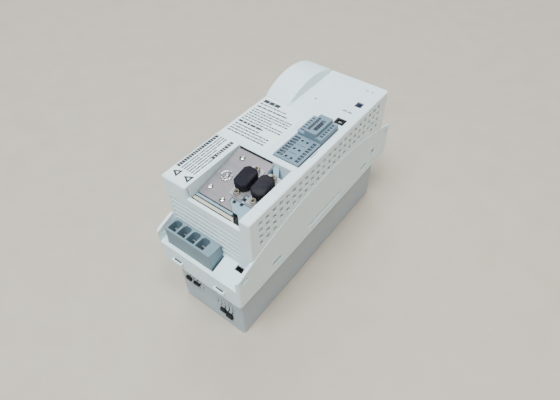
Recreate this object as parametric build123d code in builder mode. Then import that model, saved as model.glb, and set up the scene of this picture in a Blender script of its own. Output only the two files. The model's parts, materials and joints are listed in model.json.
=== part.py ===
from build123d import *

import math
import os

# A servo drive lying on its back. +Z points out of the front panel, +Y to the end that is on top
# when it hangs in a cabinet, and the origin is the middle of the flat back. Sizes in millimetres.
#
# Three casings stack along Z: the base housing is an air duct round the heat sink and the fan, the
# rear housing is a tub with arched side walls and a sloping ledge at each end for the power
# terminals, and the front cover stands on the arch with vents in its sides and louvres in its ends.

# Overall sizes
LENGTH = 240.0
WIDTH = 88.5
PANEL_Z = 147.0
WALL = 2.6
THIN_WALL = 1.6

# Base housing
BASE_WIDTH = 73.0
BASE_LENGTH = 225.0
BASE_TOP = 62.0
BASE_FLOOR = 1.8
BASE_CORNER = 2.5
OUTLET_SLOTS = 7
OUTLET_PITCH = 9.0
OUTLET_WIDTH = 5.0
OUTLET_Z = (16.0, 54.0)

# Rear housing: the arch of its side walls and the ledges at its ends
ARCH_TOP = 120.0
ARCH_END = 97.0
HOUSING_FLOOR_TOP = BASE_TOP + WALL
LEDGE_FRONT_Z = 85.0
LEDGE_BACK_Z = 91.0
DECK = 3.0
HOUSING_CORNER = 3.0
SIDE_GROOVE_Z = 67.0
SIDE_GROOVE = 0.6

# Front cover
COVER_LENGTH = 203.0
COVER_STEP = 0.6
COVER_GAP = 0.25
COVER_CORNER = 2.0
EDGE = 0.8
PAST = 1.0
VENT_SIZE = 4.2
VENT_PITCH_Y = 8.27
VENT_PITCH_Z = 7.2
VENT_FIRST_Y = -89.0
VENT_COLUMNS = 22
VENT_ROWS = 4
VENT_TOP_Z = 138.6
VENT_BAND = 1.9
LOUVRE_X = (-38.0, 32.0)
LOUVRE_TOP_Z = 125.6
LOUVRE_PITCH = 5.25
LOUVRE_HEIGHT = 2.6
LOUVRE_COUNT = 7

# Connector recess, an open corner of the front panel, and the sloping plate in it
RECESS_X = (-18.0, 34.5)
RECESS_Y = (-101.5, -39.0)
RECESS_LIP_Z = 135.4
RECESS_LIP = 3.4
WELL_BOTTOM = 124.6
PLATE = 1.2
PLATE_SLOPE = 11.5
PLATE_X = (-17.3, 18.6)
PLATE_Y = (-90.0, -40.0)
PLATE_NEAR_Z = 135.3
DSUB_X = (10.9, 27.1)
DSUB_Y = -64.0
DSUB_FLANGE = (12.4, 30.8)
DSUB_SHELL = (8.3, 16.9)
DSUB_JACK_SPACING = 25.0
CAP_SIZE = (12.8, 19.4, 8.0)
PLATE_SCREWS = ((-7.4, -47.8), (-12.1, -81.7), (4.2, -86.3))

# Circuit boards
BOARD = 1.6
POWER_BOARD_Z = 72.0
CONTROL_BOARD_Z = 121.0
IO_BOARD_Z = 136.4

# Fieldbus pocket and the bulged cover over it
POCKET_X = (-38.0, -20.5)
POCKET_Y = (33.0, 97.0)
POCKET_FLOOR_Z = 136.0
BULGE_X = (-43.65, -17.5)
BULGE_Y = (28.5, 101.5)
BULGE_RISE = (11.4, 10.2)

# Power terminal headers
POLE_PITCH = 10.16
POLES = 4
MOTOR_HEADER_X = (-35.5, 13.3)
MOTOR_FIRST_POLE_X = -29.6
BUS_HEADER_X = (-21.6, 21.6)
BUS_FIRST_POLE_X = -15.24
HEADER_Y = (102.2, 116.6)
HEADER_TOP = 104.0
CHAMBER = (8.3, 10.6)
CHAMBER_FLOOR = 92.0
BRAKE_X = (28.8, 35.8)
BRAKE_Y = (-106.2, -101.9)
BRAKE_TOP = 89.4

# Control terminals
CONTROL_X = (11.7, 36.0)
CONTROL_Y = (-32.8, 25.1)
PLUG_SPLIT_Y = -0.8
PLUG_SEAT_Z = 137.8
FLUSH_PLUG_TOP = 148.4
TALL_PLUG_TOP = 155.0
GAP = 0.2

# Small parts of the front panel
SYNC_X = (27.6, 36.4)
SYNC_Y = (31.0, 39.0)
DIP_X = (30.0, 36.0)
DIP_Y = (62.0, 69.5)
DIP_TOP = 146.2
DIP_TRAVEL = 1.6
LED_X = (28.0, 33.0)
LED_Y = 89.5
LED_HOLE = 1.4
SERVICE_HOLE = (-4.0, 51.5)
SERVICE_RADIUS = 1.3

# Fan
FAN_SIZE = 60.0
FAN_DEPTH = 25.0
FAN_FRONT_Y = -109.8
FAN_Z = 31.9
FAN_BORE = 28.5
FAN_HUB = 15.5
FAN_BLADES = 7
SHAFT = 1.5

# Heat sink and the threaded holes in the back
SINK_Y = (-72.0, 96.0)
SINK_HALF_X = 33.5
SINK_PLATE_Z = 54.0
FINS = 11
FIN_PITCH = 6.2
FIN = 1.8
MOUNT_X = 28.0
MOUNT_Y = (-78.0, 103.0)
MOUNT_BOSS = 4.6
MOUNT_BOSS_TOP = 14.0
MOUNT_HOLE = 2.1
MOUNT_DEPTH = 12.0

HOUSING_HALF = WIDTH / 2
HOUSING_IN = HOUSING_HALF - WALL
COVER_HALF = HOUSING_HALF - COVER_STEP
COVER_IN = COVER_HALF - WALL
HALF_LENGTH = LENGTH / 2
COVER_END = COVER_LENGTH / 2
ARCH_RADIUS = (HALF_LENGTH**2 + (ARCH_TOP - ARCH_END) ** 2) / (2 * (ARCH_TOP - ARCH_END))
LEDGE_SLOPE = (LEDGE_BACK_Z - LEDGE_FRONT_Z) / (HALF_LENGTH - COVER_END)
POWER_TOP = POWER_BOARD_Z + BOARD
CONTROL_TOP = CONTROL_BOARD_Z + BOARD
IO_TOP = IO_BOARD_Z + BOARD
PLATE_TILT = math.radians(PLATE_SLOPE)

# Sets a shape on its base, centred over its place
BASE_ALIGN = (Align.CENTER, Align.CENTER, Align.MIN)

os.makedirs("parts", exist_ok=True)


def save(part, name):
    """Labels a finished piece and writes its STEP file."""
    part.label = name
    export_step(part, f"parts/{name}.step")


def block(x, y, z, mode=Mode.ADD):
    """A box between the two limits given for each axis, in the part that is open."""
    size = [max(side) - min(side) for side in (x, y, z)]
    middle = [(max(side) + min(side)) / 2 for side in (x, y, z)]
    with Locations(tuple(middle)):
        Box(*size, mode=mode)


def post(x, y, z, radius, mode=Mode.ADD):
    """An upright round post between two heights."""
    with Locations((x, y, min(z))):
        Cylinder(radius, abs(z[1] - z[0]), align=BASE_ALIGN, mode=mode)


def arch_z(y):
    """Height of the arched edge at a place along the drive."""
    return ARCH_TOP - ARCH_RADIUS + math.sqrt(ARCH_RADIUS**2 - y**2)


def ledge_z(y):
    """Height of the sloping ledges' top at a distance from the middle of the drive."""
    return LEDGE_FRONT_Z + (HALF_LENGTH - y) * LEDGE_SLOPE


def plate_z(y):
    """Height of the sloping plate's top face at a place along the drive."""
    return PLATE_NEAR_Z + (y - PLATE_Y[0]) * math.tan(PLATE_TILT)


def on_plate(x, y):
    """A plane on the sloping plate's top face: its Z stands off the plate and its Y runs uphill."""
    normal = (0, -math.sin(PLATE_TILT), math.cos(PLATE_TILT))
    return Plane(origin=(x, y, plate_z(y)), x_dir=(1, 0, 0), z_dir=normal)


# ---------------------------------------------------------------- base housing
DUCT_X = BASE_WIDTH / 2 - WALL
DUCT_Y = BASE_LENGTH / 2 - WALL
GRILLE_RINGS = (9.0, 13.2, 17.4, 21.6, 25.8)
GRILLE_SLOT = 0.9
GRILLE_RIB = 3.2
# Windows in opposite corners of the grille for the fan's clips: middle x, middle z, width, height
CLIP_WINDOWS = (
    (-25.8, 35.8, 6.4, 5.2),
    (-16.3, 35.4, 7.4, 3.8),
    (13.8, 20.4, 6.4, 5.4),
    (20.9, 17.4, 8.0, 7.4),
)

with BuildPart() as base_housing:
    block((-BASE_WIDTH / 2, BASE_WIDTH / 2), (-BASE_LENGTH / 2, BASE_LENGTH / 2), (0, BASE_TOP))
    fillet(base_housing.edges().filter_by(Axis.Z), BASE_CORNER)
    chamfer(base_housing.faces().sort_by(Axis.Z)[0].edges(), EDGE)
    block((-DUCT_X, DUCT_X), (-DUCT_Y, DUCT_Y), (BASE_FLOOR, BASE_TOP), Mode.SUBTRACT)
    # Ring slots of the fan grille, bridged by a cross of ribs
    grille_face = Plane(
        origin=(0, -BASE_LENGTH / 2, FAN_Z), x_dir=(1, 0, 0), z_dir=(0, -1, 0)
    )
    with BuildSketch(grille_face) as ring_slots:
        for radius in reversed(GRILLE_RINGS):
            Circle(radius + GRILLE_SLOT / 2)
            Circle(radius - GRILLE_SLOT / 2, mode=Mode.SUBTRACT)
        for angle in (45, 135):
            Rectangle(2 * FAN_SIZE, GRILLE_RIB, rotation=angle, mode=Mode.SUBTRACT)
    extrude(amount=-WALL, mode=Mode.SUBTRACT)
    for x, z, width, height in CLIP_WINDOWS:
        block(
            (x - width / 2, x + width / 2),
            (-BASE_LENGTH / 2, -DUCT_Y),
            (z - height / 2, z + height / 2),
            Mode.SUBTRACT,
        )
    # Air outlet slots at the far end
    for column in range(OUTLET_SLOTS):
        x = (column - (OUTLET_SLOTS - 1) / 2) * OUTLET_PITCH
        block(
            (x - OUTLET_WIDTH / 2, x + OUTLET_WIDTH / 2),
            (DUCT_Y, BASE_LENGTH / 2),
            OUTLET_Z,
            Mode.SUBTRACT,
        )
    for x in (-MOUNT_X, MOUNT_X):
        for y in MOUNT_Y:
            post(x, y, (BASE_FLOOR / 2, MOUNT_BOSS_TOP), MOUNT_BOSS)
            post(x, y, (0, MOUNT_DEPTH), MOUNT_HOLE, Mode.SUBTRACT)
save(base_housing.part, "base_housing")

# ---------------------------------------------------------------- rear housing
TAB_X = 23.3
TAB_LENGTH = 11.0
TAB_Z = (70.8, 73.4)
TAB_REACH = 2.8
TAB_SLOT = (8.4, 1.3)
SINK_SCREW_X = 30.5
SINK_SCREW_Y = (-60.0, 76.0)
SINK_SCREW_HOLE = 2.2
MODULE_OPENING_X = (-27.0, 27.0)
MODULE_OPENING_Y = (-56.0, 16.0)
MOTOR_DECK_GAP = 1.4
# Slots in the side walls: middle along the drive, middle height, length, height
SIDE_SLOTS = (
    (-111.5, 93.0, 8.0, 3.6),
    (-71.5, 75.0, 11.0, 4.6),
    (70.5, 75.0, 11.0, 4.6),
    (86.5, 84.0, 6.0, 5.6),
    (112.0, 93.5, 6.0, 3.2),
)
RAIL_LENGTH = 53.0
RAIL_Z = (72.0, 77.6)
RAIL_DEPTH = 1.8

with BuildPart() as rear_housing:
    with BuildSketch(Plane.YZ):
        with BuildLine():
            ThreePointArc(
                (-HALF_LENGTH, ARCH_END), (0, ARCH_TOP), (HALF_LENGTH, ARCH_END)
            )
            Polyline(
                (HALF_LENGTH, ARCH_END),
                (HALF_LENGTH, BASE_TOP),
                (-HALF_LENGTH, BASE_TOP),
                (-HALF_LENGTH, ARCH_END),
            )
        make_face()
    extrude(amount=HOUSING_HALF, both=True)
    fillet(rear_housing.edges().filter_by(Axis.Z), HOUSING_CORNER)
    chamfer(rear_housing.faces().sort_by(Axis.Z)[0].edges(), EDGE)
    # The inside, open upwards over the sloping decks of both ledges
    inner_end = HALF_LENGTH - WALL
    deck_end = COVER_END - WALL
    half_outline = [
        (HALF_LENGTH, ARCH_TOP),
        (HALF_LENGTH, ledge_z(HALF_LENGTH)),
        (deck_end, ledge_z(deck_end)),
        (deck_end, ledge_z(deck_end) - DECK),
        (inner_end, ledge_z(inner_end) - DECK),
        (inner_end, HOUSING_FLOOR_TOP),
    ]
    other_half = [(-y, z) for y, z in reversed(half_outline)]
    with BuildSketch(Plane.YZ):
        with BuildLine():
            Polyline(*half_outline, *other_half, close=True)
        make_face()
    extrude(amount=HOUSING_IN, both=True, mode=Mode.SUBTRACT)
    # Openings in the decks for the terminal headers
    for x, side, extra in ((MOTOR_HEADER_X, -1, MOTOR_DECK_GAP), (BUS_HEADER_X, 1, 0)):
        block(
            (x[0] - GAP, x[1] + GAP + extra),
            (side * (HEADER_Y[0] - GAP), side * (HEADER_Y[1] + GAP)),
            (POWER_TOP, ARCH_TOP),
            Mode.SUBTRACT,
        )
    block(
        (BRAKE_X[0] - GAP, BRAKE_X[1] + GAP),
        (BRAKE_Y[0] - GAP, BRAKE_Y[1] + GAP),
        (POWER_TOP, ARCH_TOP),
        Mode.SUBTRACT,
    )
    # Opening for the power module, and holes for the heat sink's screws
    block(MODULE_OPENING_X, MODULE_OPENING_Y, (BASE_TOP, HOUSING_FLOOR_TOP), Mode.SUBTRACT)
    for x in (-SINK_SCREW_X, SINK_SCREW_X):
        for y in SINK_SCREW_Y:
            post(x, y, (BASE_TOP, HOUSING_FLOOR_TOP), SINK_SCREW_HOLE, Mode.SUBTRACT)
    # Latch loops: shelves that stand out from both end walls, with a slot along the wall
    for end in (-1, 1):
        for x in (-TAB_X, TAB_X):
            block(
                (x - TAB_LENGTH / 2, x + TAB_LENGTH / 2),
                (end * (HALF_LENGTH - WALL / 2), end * (HALF_LENGTH + TAB_REACH)),
                TAB_Z,
            )
            block(
                (x - TAB_SLOT[0] / 2, x + TAB_SLOT[0] / 2),
                (end * HALF_LENGTH, end * (HALF_LENGTH + TAB_SLOT[1])),
                TAB_Z,
                Mode.SUBTRACT,
            )
    # Slots, rail recess and groove of the side walls
    for side in (-1, 1):
        wall_x = (side * HOUSING_IN, side * HOUSING_HALF)
        skin_x = (side * (HOUSING_HALF - RAIL_DEPTH), side * HOUSING_HALF)
        groove_x = (side * (HOUSING_HALF - SIDE_GROOVE), side * HOUSING_HALF)
        for y, z, length, height in SIDE_SLOTS:
            block(
                wall_x,
                (y - length / 2, y + length / 2),
                (z - height / 2, z + height / 2),
                Mode.SUBTRACT,
            )
        block(skin_x, (-RAIL_LENGTH / 2, RAIL_LENGTH / 2), RAIL_Z, Mode.SUBTRACT)
        block(
            groove_x,
            (-HALF_LENGTH, HALF_LENGTH),
            (SIDE_GROOVE_Z - SIDE_GROOVE, SIDE_GROOVE_Z + SIDE_GROOVE),
            Mode.SUBTRACT,
        )
save(rear_housing.part, "rear_housing")

# ---------------------------------------------------------------- front cover
CONTROL_CLEAR = 0.3
CONTROL_SIDE_GAP = 0.9
STRIP_GROOVE_Y = (-85.2, -65.0)
STRIP_GROOVE = 0.7
DSUB_CLEAR = (5.0, 9.0)


def window(x, y, clear):
    """Cuts a rectangular window through the front panel, larger than x and y by clear all round."""
    block(
        (x[0] - clear, x[1] + clear),
        (y[0] - clear, y[1] + clear),
        (PANEL_Z - WALL - PAST, PANEL_Z + PAST),
        Mode.SUBTRACT,
    )


with BuildPart() as front_cover:
    end_arch_z = arch_z(COVER_END) + COVER_GAP
    with BuildSketch(Plane.YZ):
        with BuildLine():
            ThreePointArc(
                (-COVER_END, end_arch_z), (0, ARCH_TOP + COVER_GAP), (COVER_END, end_arch_z)
            )
            Polyline(
                (COVER_END, end_arch_z),
                (COVER_END, PANEL_Z),
                (-COVER_END, PANEL_Z),
                (-COVER_END, end_arch_z),
            )
        make_face()
    extrude(amount=COVER_HALF, both=True)
    fillet(front_cover.edges().filter_by(Axis.Z), COVER_CORNER)
    chamfer(front_cover.faces().sort_by(Axis.Z)[-1].edges(), EDGE)
    block(
        (-COVER_IN, COVER_IN),
        (-COVER_END + WALL, COVER_END - WALL),
        (BASE_TOP, PANEL_Z - WALL),
        Mode.SUBTRACT,
    )
    # End walls reach down between the rims to the ledges
    for end in (-1, 1):
        block(
            (-HOUSING_IN + COVER_GAP, HOUSING_IN - COVER_GAP),
            (end * (COVER_END - WALL), end * COVER_END),
            (ledge_z(COVER_END - WALL) + COVER_GAP, end_arch_z + WALL),
        )
    # Louvres: a stack of wide slots through both end walls
    for end in (-1, 1):
        for row in range(LOUVRE_COUNT):
            z = LOUVRE_TOP_Z - row * LOUVRE_PITCH
            block(
                LOUVRE_X,
                (end * (COVER_END - WALL), end * COVER_END),
                (z - LOUVRE_HEIGHT / 2, z + LOUVRE_HEIGHT / 2),
                Mode.SUBTRACT,
            )
    # Vents: square holes in both side walls wherever a row is clear of the arch
    vent_centres = []
    for column in range(VENT_COLUMNS):
        for row in range(VENT_ROWS):
            y = VENT_FIRST_Y + column * VENT_PITCH_Y
            z = VENT_TOP_Z - row * VENT_PITCH_Z
            nearest = max(abs(y) - VENT_SIZE / 2, 0)
            if z - VENT_SIZE / 2 > arch_z(nearest) + VENT_BAND:
                vent_centres.append((y, z))
    with BuildSketch(Plane.YZ):
        with Locations(*vent_centres):
            Rectangle(VENT_SIZE, VENT_SIZE)
    extrude(amount=WIDTH, both=True, mode=Mode.SUBTRACT)
    # Walls and floors of the connector well and of the fieldbus pocket
    block(
        (RECESS_X[0] - THIN_WALL, RECESS_X[1] + THIN_WALL),
        (RECESS_Y[0] + RECESS_LIP, RECESS_Y[1] + THIN_WALL),
        (WELL_BOTTOM, PANEL_Z - WALL),
    )
    block(
        (POCKET_X[0] - THIN_WALL, POCKET_X[1] + THIN_WALL),
        (POCKET_Y[0] - THIN_WALL, COVER_END - WALL),
        (POCKET_FLOOR_Z - THIN_WALL, PANEL_Z - WALL),
    )
    block(
        (RECESS_X[0] - THIN_WALL, RECESS_X[1] + THIN_WALL),
        (RECESS_Y[0] + WALL, RECESS_Y[0] + RECESS_LIP),
        (LOUVRE_TOP_Z + LOUVRE_HEIGHT / 2, RECESS_LIP_Z),
    )
    block(
        RECESS_X,
        (RECESS_Y[0] + RECESS_LIP, RECESS_Y[1]),
        (WELL_BOTTOM + THIN_WALL, PANEL_Z + PAST),
        Mode.SUBTRACT,
    )
    block(RECESS_X, (RECESS_Y[0] - PAST, RECESS_Y[1]), (RECESS_LIP_Z, PANEL_Z + PAST), Mode.SUBTRACT)
    block(POCKET_X, POCKET_Y, (POCKET_FLOOR_Z, PANEL_Z + PAST), Mode.SUBTRACT)
    # The well's floor is open below the two D-sub connectors
    block(
        (DSUB_X[0] - DSUB_CLEAR[0], DSUB_X[1] + DSUB_CLEAR[0]),
        (DSUB_Y - DSUB_CLEAR[1], DSUB_Y + DSUB_CLEAR[1]),
        (WELL_BOTTOM, WELL_BOTTOM + THIN_WALL),
        Mode.SUBTRACT,
    )
    # Openings of the panel
    window(CONTROL_X, CONTROL_Y, CONTROL_CLEAR)
    window((CONTROL_X[1], CONTROL_X[1] + CONTROL_SIDE_GAP), CONTROL_Y, 0)
    window(SYNC_X, SYNC_Y, GAP)
    window(DIP_X, DIP_Y, GAP)
    for x in LED_X:
        post(x, LED_Y, (PANEL_Z - 2 * WALL, PANEL_Z + PAST), LED_HOLE, Mode.SUBTRACT)
    post(*SERVICE_HOLE, (PANEL_Z - 2 * WALL, PANEL_Z + PAST), SERVICE_RADIUS, Mode.SUBTRACT)
    # Shallow grooves across the strip beside the recess
    for y in STRIP_GROOVE_Y:
        block(
            (RECESS_X[1], COVER_HALF),
            (y - STRIP_GROOVE / 2, y + STRIP_GROOVE / 2),
            (PANEL_Z - STRIP_GROOVE / 2, PANEL_Z + PAST),
            Mode.SUBTRACT,
        )
save(front_cover.part, "front_cover")

# ---------------------------------------------------------------- fieldbus cover
BULGE_MIDDLE = (BULGE_Y[0] + BULGE_Y[1]) / 2
BULGE_SHELL = 2.0
FOOT_Z = 139.0
FOOT_INSET = 6.0
FOOT_GAP = 0.3
FOOT_THICKNESS = 2.0
FOOT_LENGTH = 8.0
# The module's socket in the pocket: width, length, height
BUS_SOCKET = (5.2, 28.0, 7.5)
BUS_SOCKET_WALL = 0.9
PIN_PITCH = 2.0
BUS_PINS = 12
PIN = 0.5
PIN_TOP = 6.2


def bulge_profiles(x, rises, inset):
    """The two arched ends of the bulge, at the limits of x, each with its own rise."""
    for end, rise in zip(x, rises):
        low = BULGE_Y[0] + inset
        high = BULGE_Y[1] - inset
        with BuildSketch(Plane.YZ.offset(end)) as profile:
            with BuildLine():
                ThreePointArc((low, PANEL_Z), (BULGE_MIDDLE, PANEL_Z + rise - inset), (high, PANEL_Z))
                Line((high, PANEL_Z), (low, PANEL_Z))
            make_face()
        yield profile.sketch


with BuildPart() as cover_limit:
    loft(list(bulge_profiles(BULGE_X, BULGE_RISE, 0)))
    block(BULGE_X, BULGE_Y, (FOOT_Z, PANEL_Z))

with BuildPart() as fieldbus_cover:
    loft(list(bulge_profiles(BULGE_X, BULGE_RISE, 0)))
    hollow_x = (BULGE_X[0] + BULGE_SHELL, BULGE_X[1] - BULGE_SHELL)
    loft(list(bulge_profiles(hollow_x, BULGE_RISE, BULGE_SHELL)), mode=Mode.SUBTRACT)
    # Feet from the shell down into the pocket
    for y in (POCKET_Y[0] + FOOT_INSET, POCKET_Y[1] - FOOT_INSET):
        for wall_x, side in ((POCKET_X[0], 1), (POCKET_X[1], -1)):
            block(
                (wall_x + side * FOOT_GAP, wall_x + side * (FOOT_GAP + FOOT_THICKNESS)),
                (y - FOOT_LENGTH / 2, y + FOOT_LENGTH / 2),
                (FOOT_Z, PANEL_Z + BULGE_RISE[0]),
            )
    add(cover_limit.part, mode=Mode.INTERSECT)
save(fieldbus_cover.part, "fieldbus_cover")

with BuildPart() as fieldbus_header:
    header_x = (sum(POCKET_X) - BUS_SOCKET[0]) / 2, (sum(POCKET_X) + BUS_SOCKET[0]) / 2
    header_y = BULGE_MIDDLE - BUS_SOCKET[1] / 2, BULGE_MIDDLE + BUS_SOCKET[1] / 2
    header_top = POCKET_FLOOR_Z + BUS_SOCKET[2]
    block(header_x, header_y, (POCKET_FLOOR_Z, header_top))
    block(
        (header_x[0] + BUS_SOCKET_WALL, header_x[1] - BUS_SOCKET_WALL),
        (header_y[0] + BUS_SOCKET_WALL, header_y[1] - BUS_SOCKET_WALL),
        (POCKET_FLOOR_Z + BUS_SOCKET_WALL, header_top),
        Mode.SUBTRACT,
    )
    with Locations((sum(header_x) / 2, BULGE_MIDDLE, POCKET_FLOOR_Z)):
        with GridLocations(PIN_PITCH, PIN_PITCH, 2, BUS_PINS):
            Box(PIN, PIN, PIN_TOP, align=BASE_ALIGN)
save(fieldbus_header.part, "fieldbus_header")

# ---------------------------------------------------------------- connector recess
SCREW_SHANK = 1.45
DSUB_CUTOUT = (11.0, 20.0)
WING_Y = (-80.4, -52.5)
WING_X = (21.2, 33.9)
NOTCH_Y = -73.5
CORNER_CUT = (9.2, -83.6)
DIMPLE = (-7.6, -67.2)
DIMPLE_RING = (3.7, 5.2)
DIMPLE_CROWN = 2.6
JACK_HOLE = 1.7
SCREW_HEAD = 2.7
SCREW_RISE = 1.9
SCREW_LENGTH = 6.0
CROSS_SLOT = (3.0, 0.7)
CROSS_FLOOR = 0.8


def uphill(y):
    """Distance along the slope from the plate's near edge to a place along the drive."""
    return (y - PLATE_Y[0]) / math.cos(PLATE_TILT)


with BuildPart() as shield_plate:
    near_edge = on_plate(0, PLATE_Y[0])
    with BuildSketch(near_edge):
        with BuildLine():
            Polyline(
                (PLATE_X[0], 0),
                (PLATE_X[1] - 1.0, 0),
                (CORNER_CUT[0], uphill(CORNER_CUT[1])),
                (CORNER_CUT[0], uphill(WING_Y[0])),
                (PLATE_X[1] - 1.3, uphill(WING_Y[0])),
                (PLATE_X[1] - 1.3, uphill(NOTCH_Y)),
                (WING_X[0], uphill(NOTCH_Y)),
                (WING_X[0], uphill(WING_Y[0])),
                (WING_X[1], uphill(WING_Y[0])),
                (WING_X[1], uphill(WING_Y[1] - 2.0)),
                (WING_X[1] - 2.0, uphill(WING_Y[1])),
                (PLATE_X[1] + 3.0, uphill(WING_Y[1])),
                (PLATE_X[1], uphill(WING_Y[1] + 4.0)),
                (PLATE_X[1], uphill(PLATE_Y[1])),
                (PLATE_X[0], uphill(PLATE_Y[1])),
                close=True,
            )
        make_face()
    extrude(amount=-PLATE)
    for x in DSUB_X:
        with BuildSketch(on_plate(x, DSUB_Y)):
            Rectangle(*DSUB_CUTOUT)
        extrude(amount=-PLATE, mode=Mode.SUBTRACT)
        for side in (-1, 1):
            with BuildSketch(on_plate(x, DSUB_Y)):
                with Locations((0, side * DSUB_JACK_SPACING / 2)):
                    Circle(JACK_HOLE)
            extrude(amount=-PLATE, mode=Mode.SUBTRACT)
    for x, y in PLATE_SCREWS:
        with BuildSketch(on_plate(x, y)):
            Circle(SCREW_SHANK + 0.15)
        extrude(amount=-PLATE, mode=Mode.SUBTRACT)
    # A pressed ring with a shallow crown, beside the connectors
    with BuildSketch(on_plate(*DIMPLE)):
        Circle(DIMPLE_RING[1])
        Circle(DIMPLE_RING[0], mode=Mode.SUBTRACT)
    extrude(amount=PLATE / 2)
    with BuildSketch(on_plate(*DIMPLE)):
        Circle(DIMPLE_CROWN)
    extrude(amount=PLATE, taper=20)
save(shield_plate.part, "shield_plate")

with BuildPart() as plate_screws:
    for x, y in PLATE_SCREWS:
        head_plane = on_plate(x, y)
        with BuildSketch(head_plane):
            Circle(SCREW_HEAD)
        extrude(amount=SCREW_RISE, taper=22)
        with BuildSketch(head_plane):
            Circle(SCREW_SHANK)
        extrude(amount=-SCREW_LENGTH)
        with BuildSketch(head_plane.offset(CROSS_FLOOR)):
            Rectangle(*CROSS_SLOT)
            Rectangle(*reversed(CROSS_SLOT))
        extrude(amount=SCREW_RISE, mode=Mode.SUBTRACT)
save(plate_screws.part, "plate_screws")

CARRIER_Z = WELL_BOTTOM + THIN_WALL
CARRIER_X = (RECESS_X[0] + GAP, RECESS_X[1] - GAP)
CARRIER_Y = (RECESS_Y[0] + RECESS_LIP + GAP, RECESS_Y[1] - GAP)
CARRIER_DROP = PLATE / math.cos(PLATE_TILT)
STRIP_Z = 131.4
STRIP_Y = -91.2
# Between the plate and the lip: a ridge of the carrier, then a strip of foam
RIDGE_Y = (-92.7, -90.6)
RIDGE_Z = 134.7
GASKET_Y = (-97.2, -93.4)
GASKET_Z = 134.0
# An oblique slot from the plate's corner to the near right corner of the well
SLOT_NEAR = (25.4, CARRIER_Y[0])
SLOT_FAR = (18.2, -89.9)
SLOT_WIDTH = (6.1, 4.2)
SEAL_Z = 132.6
SHELF_DROP = 0.35
SHELF_POCKETS = ((19.3, -77.3), (19.8, -81.7), (13.4, -82.6))
SHELF_POCKET = 2.0
SHELF_GAP = 0.4
SHELF_THICKNESS = 4.0
PIT_Y = -52.0
INSERT_DEPTH = 26.0


def slot_left(y):
    """The left edge of the oblique slot at a place along the drive."""
    return SLOT_FAR[0] + (SLOT_NEAR[0] - SLOT_FAR[0]) * (y - SLOT_FAR[1]) / (SLOT_NEAR[1] - SLOT_FAR[1])


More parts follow.
